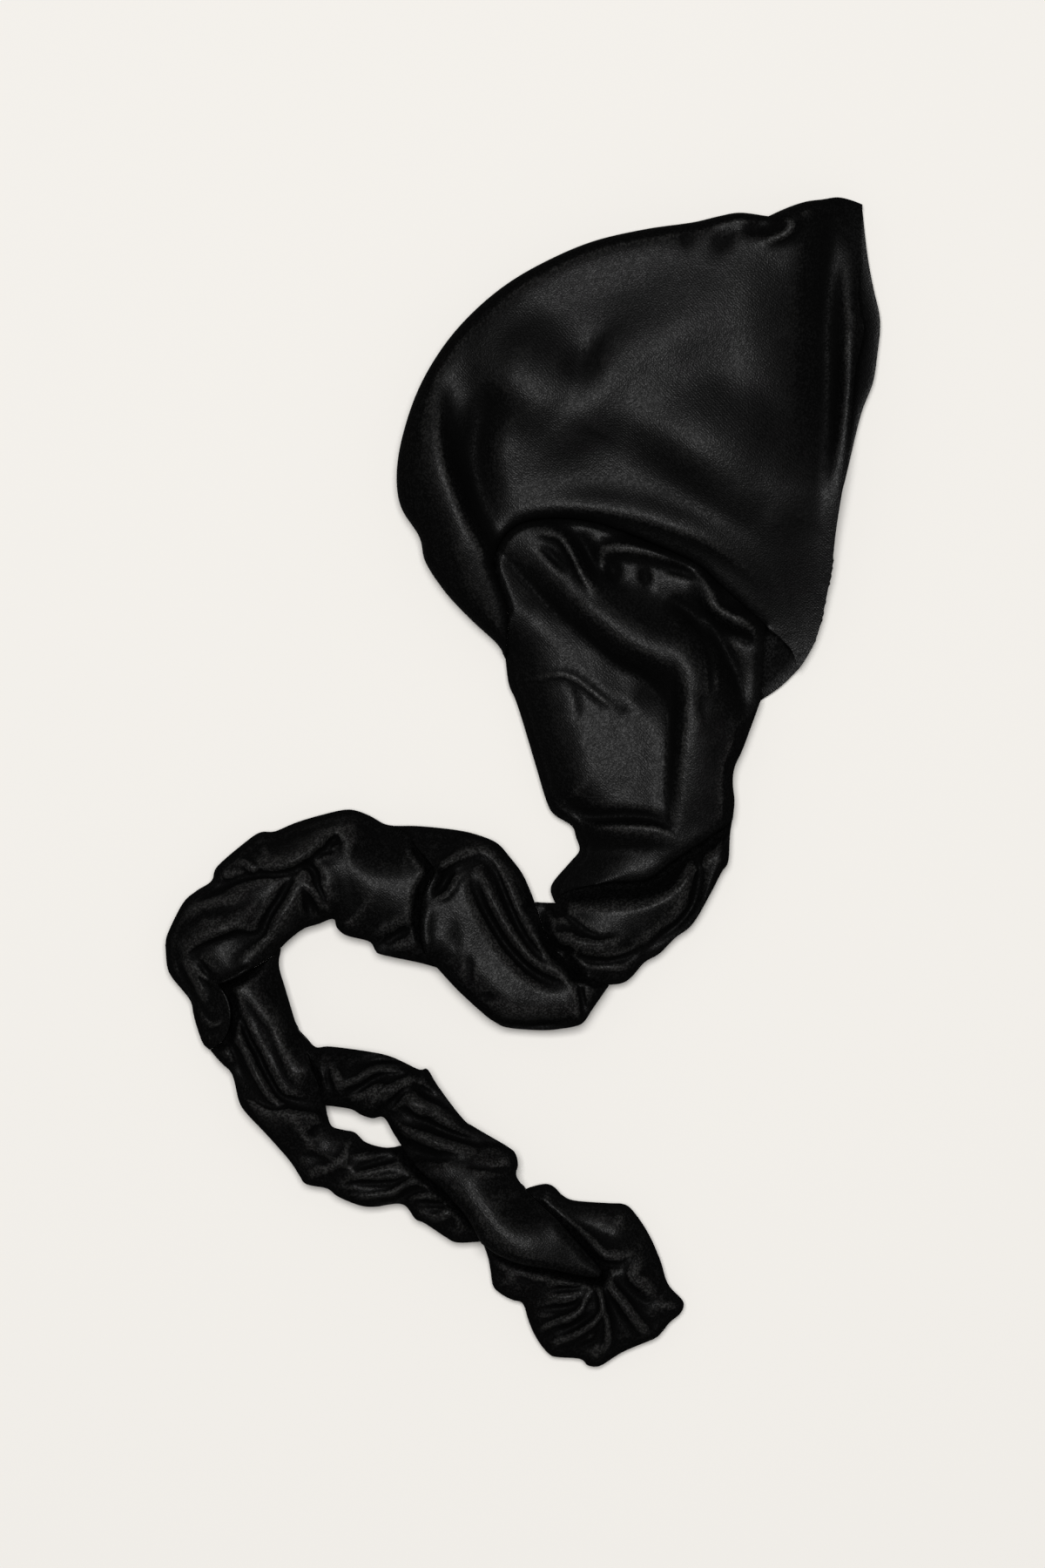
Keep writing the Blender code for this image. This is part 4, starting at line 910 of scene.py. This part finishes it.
drop_folds = [
    # the two ridges down its length and the crease between them
    (0.22, 0.06, 0.036, [(0.185, 0.8), (0.21, 0.84), (0.23, 0.87), (0.256, 0.906), (0.27, 0.94),
        (0.286, 0.98), (0.306, 1.02), (0.326, 1.06)]),
    (0.2, 0.014, 0.022, [(0.15, 0.86), (0.17, 0.92), (0.19, 0.96), (0.206, 1.0), (0.226, 1.036),
        (0.254, 1.074), (0.285, 1.098)]),
    (-0.3, 0.022, 0.02, [(0.166, 0.85), (0.19, 0.93), (0.212, 0.97), (0.24, 1.03), (0.27, 1.07),
        (0.34, 1.088)]),
    (0.12, 0.016, 0.016, [(0.124, 0.95), (0.144, 0.97), (0.16, 1.0)]),
    (-0.14, 0.02, 0.02, [(0.14, 0.905), (0.165, 0.985), (0.195, 1.045)]),
    # the fold across it above the loop
    (0.22, 0.014, 0.07, [(0.158, 1.07), (0.2, 1.086), (0.24, 1.104), (0.3, 1.106), (0.35, 1.116),
        (0.38, 1.134)]),
    (-0.12, 0.018, 0.018, [(0.33, 1.155), (0.36, 1.14)]),
    (-0.24, 0.06, 0.06, [(0.32, 1.2), (0.38, 1.22)]),
    (0.08, 0.022, 0.022, [(0.34, 1.245), (0.4, 1.22), (0.43, 1.18)]),
    # pleats at its lower end
    (0.12, 0.016, 0.018, [(0.43, 1.254), (0.47, 1.24), (0.52, 1.23), (0.565, 1.24)]),
    (0.1, 0.014, 0.014, [(0.42, 1.21), (0.5, 1.197), (0.55, 1.192)]),
    (-0.14, 0.014, 0.014, [(0.43, 1.237), (0.53, 1.212)]),
    (0.2, 0.011, 0.011, [(0.41, 1.3), (0.48, 1.296), (0.52, 1.29), (0.55, 1.27), (0.59, 1.256),
        (0.615, 1.256)]),
    (-0.18, 0.013, 0.013, [(0.41, 1.268), (0.52, 1.266), (0.565, 1.25)]),
    (-0.16, 0.012, 0.012, [(0.46, 1.312), (0.53, 1.307), (0.57, 1.287), (0.62, 1.272)]),
    (0.14, 0.011, 0.011, [(0.57, 1.297), (0.645, 1.296)]),
    (-0.2, 0.013, 0.013, [(0.58, 1.313), (0.66, 1.317)]),
    (0.18, 0.018, 0.016, [(0.565, 1.328), (0.6, 1.344), (0.63, 1.346), (0.665, 1.328)]),
]
wound_cloth("drop_cloth", "tail_drop", DROP_THICKNESS, [
    ("bend_lip", 1, "tuck"), ("drop_right", 1, "free"), ("drop_side", 1, "lip"),
    ("drop_inner", 1, "free"), ("under_side", 1, "tuck"), ("drop_foot", 1, "free"),
    ("bend_tip", 1, "tuck")], drop_folds, sway=0.0014, seed=51.0)

# The return, the stretch that comes back from the loop and crosses over the drop.
# It is rolled along its length and lies over the gathered end.

RETURN_THICKNESS = 0.038
tail_lines.update({
    "return_top": [
        (0.306, 0.92), (0.324, 0.938), (0.346, 0.956), (0.38, 0.954), (0.47, 0.966), (0.52, 0.978),
        (0.582, 1.006), (0.602, 1.006), (0.626, 1.044), (0.682, 1.118), (0.712, 1.14), (0.786, 1.184),
        (0.804, 1.2), (0.81, 1.226), (0.806, 1.25), (0.828, 1.286)],
    "return_side": [
        (0.828, 1.286), (0.86, 1.316), (0.9, 1.352), (0.94, 1.396), (0.97, 1.43), (1.0, 1.466),
        (0.992, 1.484)],
    "return_foot": [
        (0.992, 1.484), (0.944, 1.476), (0.884, 1.462), (0.816, 1.45), (0.764, 1.43), (0.726, 1.404)],
    "loop_inner": [
        (0.544, 1.186), (0.524, 1.154), (0.502, 1.118), (0.476, 1.12), (0.45, 1.112), (0.43, 1.1),
        (0.4, 1.094), (0.366, 1.09)],
})
return_folds = [
    # pleats where it comes back from the loop
    (0.18, 0.014, 0.015, [(0.4, 1.045), (0.44, 1.03), (0.47, 1.01), (0.5, 1.002), (0.56, 1.006),
        (0.6, 1.012)]),
    (-0.22, 0.022, 0.022, [(0.43, 0.998), (0.5, 0.986), (0.57, 1.0)]),
    (-0.24, 0.022, 0.022, [(0.42, 1.064), (0.47, 1.036), (0.515, 1.016)]),
    (0.12, 0.02, 0.02, [(0.388, 1.0), (0.406, 1.055)]),
    (-0.16, 0.018, 0.018, [(0.37, 1.0), (0.382, 1.055)]),
    (0.14, 0.02, 0.03, [(0.47, 1.085), (0.52, 1.05), (0.57, 1.02), (0.6, 1.005)]),
    (-0.16, 0.016, 0.016, [(0.512, 1.092), (0.555, 1.045)]),
    # long pleats that run towards the end
    (0.16, 0.014, 0.036, [(0.545, 1.055), (0.58, 1.08), (0.62, 1.094), (0.66, 1.12), (0.72, 1.155)]),
    (-0.24, 0.03, 0.03, [(0.53, 1.09), (0.6, 1.13), (0.68, 1.165), (0.77, 1.188)]),
    (0.2, 0.018, 0.03, [(0.505, 1.11), (0.54, 1.14), (0.6, 1.16), (0.66, 1.176), (0.72, 1.192)]),
    (-0.18, 0.03, 0.03, [(0.55, 1.19), (0.61, 1.205), (0.66, 1.205)]),
    (-0.22, 0.018, 0.018, [(0.57, 1.04), (0.6, 1.06), (0.625, 1.08)]),
    (-0.14, 0.014, 0.014, [(0.72, 1.166), (0.77, 1.179), (0.806, 1.184)]),
    (0.08, 0.014, 0.014, [(0.63, 1.05), (0.68, 1.115)]),
    # the roll that lies over the end
    (0.24, 0.2, 0.12, [(0.64, 1.205), (0.68, 1.225), (0.7, 1.245), (0.72, 1.28), (0.75, 1.32),
        (0.78, 1.36), (0.82, 1.41), (0.87, 1.444), (0.92, 1.464), (0.975, 1.48)]),
    (-0.05, 0.012, 0.012, [(0.69, 1.222), (0.74, 1.232), (0.8, 1.236)]),
]
wound_cloth("return_cloth", "tail_return", RETURN_THICKNESS, [
    ("drop_side", -1, "tuck"), ("return_top", 1, "free"), ("return_side", 1, "lip"),
    ("return_foot", 1, "lip"), ("under_side", -1, "lip"), ("loop_inner", 1, "free")],
    return_folds, sway=0.0010, seed=61.0)

# The end, a fan of cloth gathered with a few stitches at the return's tip.
# Its pleats run out from the stitches to the scalloped hem.

END_THICKNESS = 0.022
tail_lines.update({
    "end_right": [
        (0.828, 1.286), (0.85, 1.276), (0.876, 1.272), (0.894, 1.28), (0.912, 1.298), (0.94, 1.31),
        (1.02, 1.316), (1.05, 1.318), (1.072, 1.332), (1.108, 1.384), (1.136, 1.446), (1.154, 1.502),
        (1.186, 1.538), (1.19, 1.556), (1.18, 1.574), (1.158, 1.592), (1.14, 1.614), (1.12, 1.63),
        (1.05, 1.66), (1.002, 1.69), (0.984, 1.694)],
    "end_left": [
        (0.984, 1.694), (0.968, 1.69), (0.952, 1.676), (0.9, 1.672), (0.882, 1.666), (0.862, 1.644),
        (0.844, 1.614), (0.832, 1.584), (0.82, 1.548), (0.796, 1.54), (0.77, 1.526), (0.752, 1.508),
        (0.746, 1.474), (0.74, 1.442), (0.726, 1.404)],
})
end_folds = [
    # the fan falls away all round from the stitches
    (0.8, 0.24, 0.24, [(0.94, 1.43), (0.99, 1.48)]),
    # upper pleats
    (0.16, 0.034, 0.016, [(0.93, 1.374), (0.956, 1.394), (0.98, 1.418), (1.006, 1.434), (1.034, 1.436),
        (1.06, 1.43), (1.085, 1.422)]),
    (0.22, 0.032, 0.028, [(1.09, 1.425), (1.08, 1.46), (1.078, 1.48), (1.1, 1.5), (1.13, 1.522)]),
    (-0.24, 0.02, 0.02, [(1.0, 1.452), (1.045, 1.458)]),
    (-0.22, 0.034, 0.034, [(1.03, 1.48), (1.08, 1.535), (1.14, 1.555)]),
    (-0.16, 0.05, 0.05, [(0.9, 1.33), (1.0, 1.385), (1.08, 1.39)]),
    # pleats that run out from the stitches
    (0.32, 0.022, 0.022, [(0.99, 1.465), (1.026, 1.51), (1.05, 1.54), (1.07, 1.57), (1.094, 1.6),
        (1.116, 1.62), (1.134, 1.604), (1.17, 1.58)]),
    (0.3, 0.012, 0.012, [(0.994, 1.446), (0.99, 1.48), (0.994, 1.51), (1.002, 1.54), (1.012, 1.58),
        (1.016, 1.62), (1.01, 1.646), (0.99, 1.67)]),
    (0.28, 0.012, 0.012, [(0.99, 1.49), (1.002, 1.53), (0.996, 1.57), (0.97, 1.596), (0.94, 1.616),
        (0.91, 1.63), (0.88, 1.64)]),
    (0.22, 0.012, 0.012, [(0.988, 1.5), (0.964, 1.534), (0.95, 1.556), (0.93, 1.574), (0.9, 1.586),
        (0.87, 1.6), (0.856, 1.62)]),
    (0.18, 0.018, 0.018, [(0.98, 1.486), (0.94, 1.494), (0.9, 1.49), (0.876, 1.506)]),
    (0.14, 0.02, 0.02, [(0.96, 1.518), (0.92, 1.53), (0.87, 1.524)]),
    (-0.14, 0.013, 0.013, [(0.97, 1.502), (0.92, 1.509), (0.88, 1.517)]),
    (-0.22, 0.018, 0.018, [(0.974, 1.53), (0.945, 1.548), (0.9, 1.556), (0.85, 1.56)]),
    (-0.24, 0.017, 0.017, [(0.985, 1.56), (0.966, 1.58), (0.93, 1.6), (0.89, 1.612)]),
    (-0.24, 0.022, 0.022, [(1.0, 1.595), (0.985, 1.63), (0.94, 1.65)]),
    (-0.28, 0.045, 0.045, [(1.01, 1.52), (1.035, 1.57), (1.05, 1.62)]),
    (-0.2, 0.06, 0.06, [(0.8, 1.475), (0.84, 1.5)]),
]
wound_cloth("end_cloth", "tail_end", END_THICKNESS, [
    ("return_side", -1, "tuck"), ("end_right", 1, "fan"), ("end_left", 1, "fan"),
    ("return_foot", -1, "tuck")], end_folds, sway=0.0018, seed=71.0)

# The table and the studio light.
# A plain pale table top, one large soft light overhead and the camera straight above.

bpy.ops.mesh.primitive_plane_add(size=6.0, location=(0.0, 0.0, -0.0004))
table = bpy.context.active_object
table.name = "table"
paper = bpy.data.materials.new("pale_table")
paper.use_nodes = True
paper_shader = paper.node_tree.nodes["Principled BSDF"]
paper_shader.inputs["Base Color"].default_value = (0.860, 0.836, 0.797, 1.0)
paper_shader.inputs["Roughness"].default_value = 0.95
paper_shader.inputs["Specular IOR Level"].default_value = 0.0
table.data.materials.append(paper)
table.visible_glossy = False

softbox = bpy.data.lights.new("softbox", "AREA")
softbox.shape = "RECTANGLE"
softbox.size = 1.9
softbox.size_y = 1.9
softbox.energy = 350.0
softbox_stand = bpy.data.objects.new("softbox", softbox)
softbox_stand.location = (-0.10, 0.50, 6.0)
softbox_aim = -softbox_stand.location
softbox_stand.rotation_euler = softbox_aim.to_track_quat("-Z", "Y").to_euler()
softbox_stand.visible_camera = False
bpy.context.collection.objects.link(softbox_stand)

world = bpy.data.worlds.new("studio")
bpy.context.scene.world = world
world.use_nodes = True
world.node_tree.nodes["Background"].inputs["Color"].default_value = (1.0, 0.99, 0.97, 1.0)
world.node_tree.nodes["Background"].inputs["Strength"].default_value = 0.10

CAMERA_HEIGHT = 4.0
PICTURE_HEIGHT = 0.900
camera = bpy.data.cameras.new("camera")
camera.sensor_fit = "VERTICAL"
camera.angle_y = 2.0 * math.atan(0.5 * PICTURE_HEIGHT / CAMERA_HEIGHT)
camera_stand = bpy.data.objects.new("camera", camera)
camera_stand.location = (-0.0001, -0.0007, CAMERA_HEIGHT + 0.010)
bpy.context.collection.objects.link(camera_stand)
bpy.context.scene.camera = camera_stand
bpy.context.scene.view_settings.view_transform = "Standard"
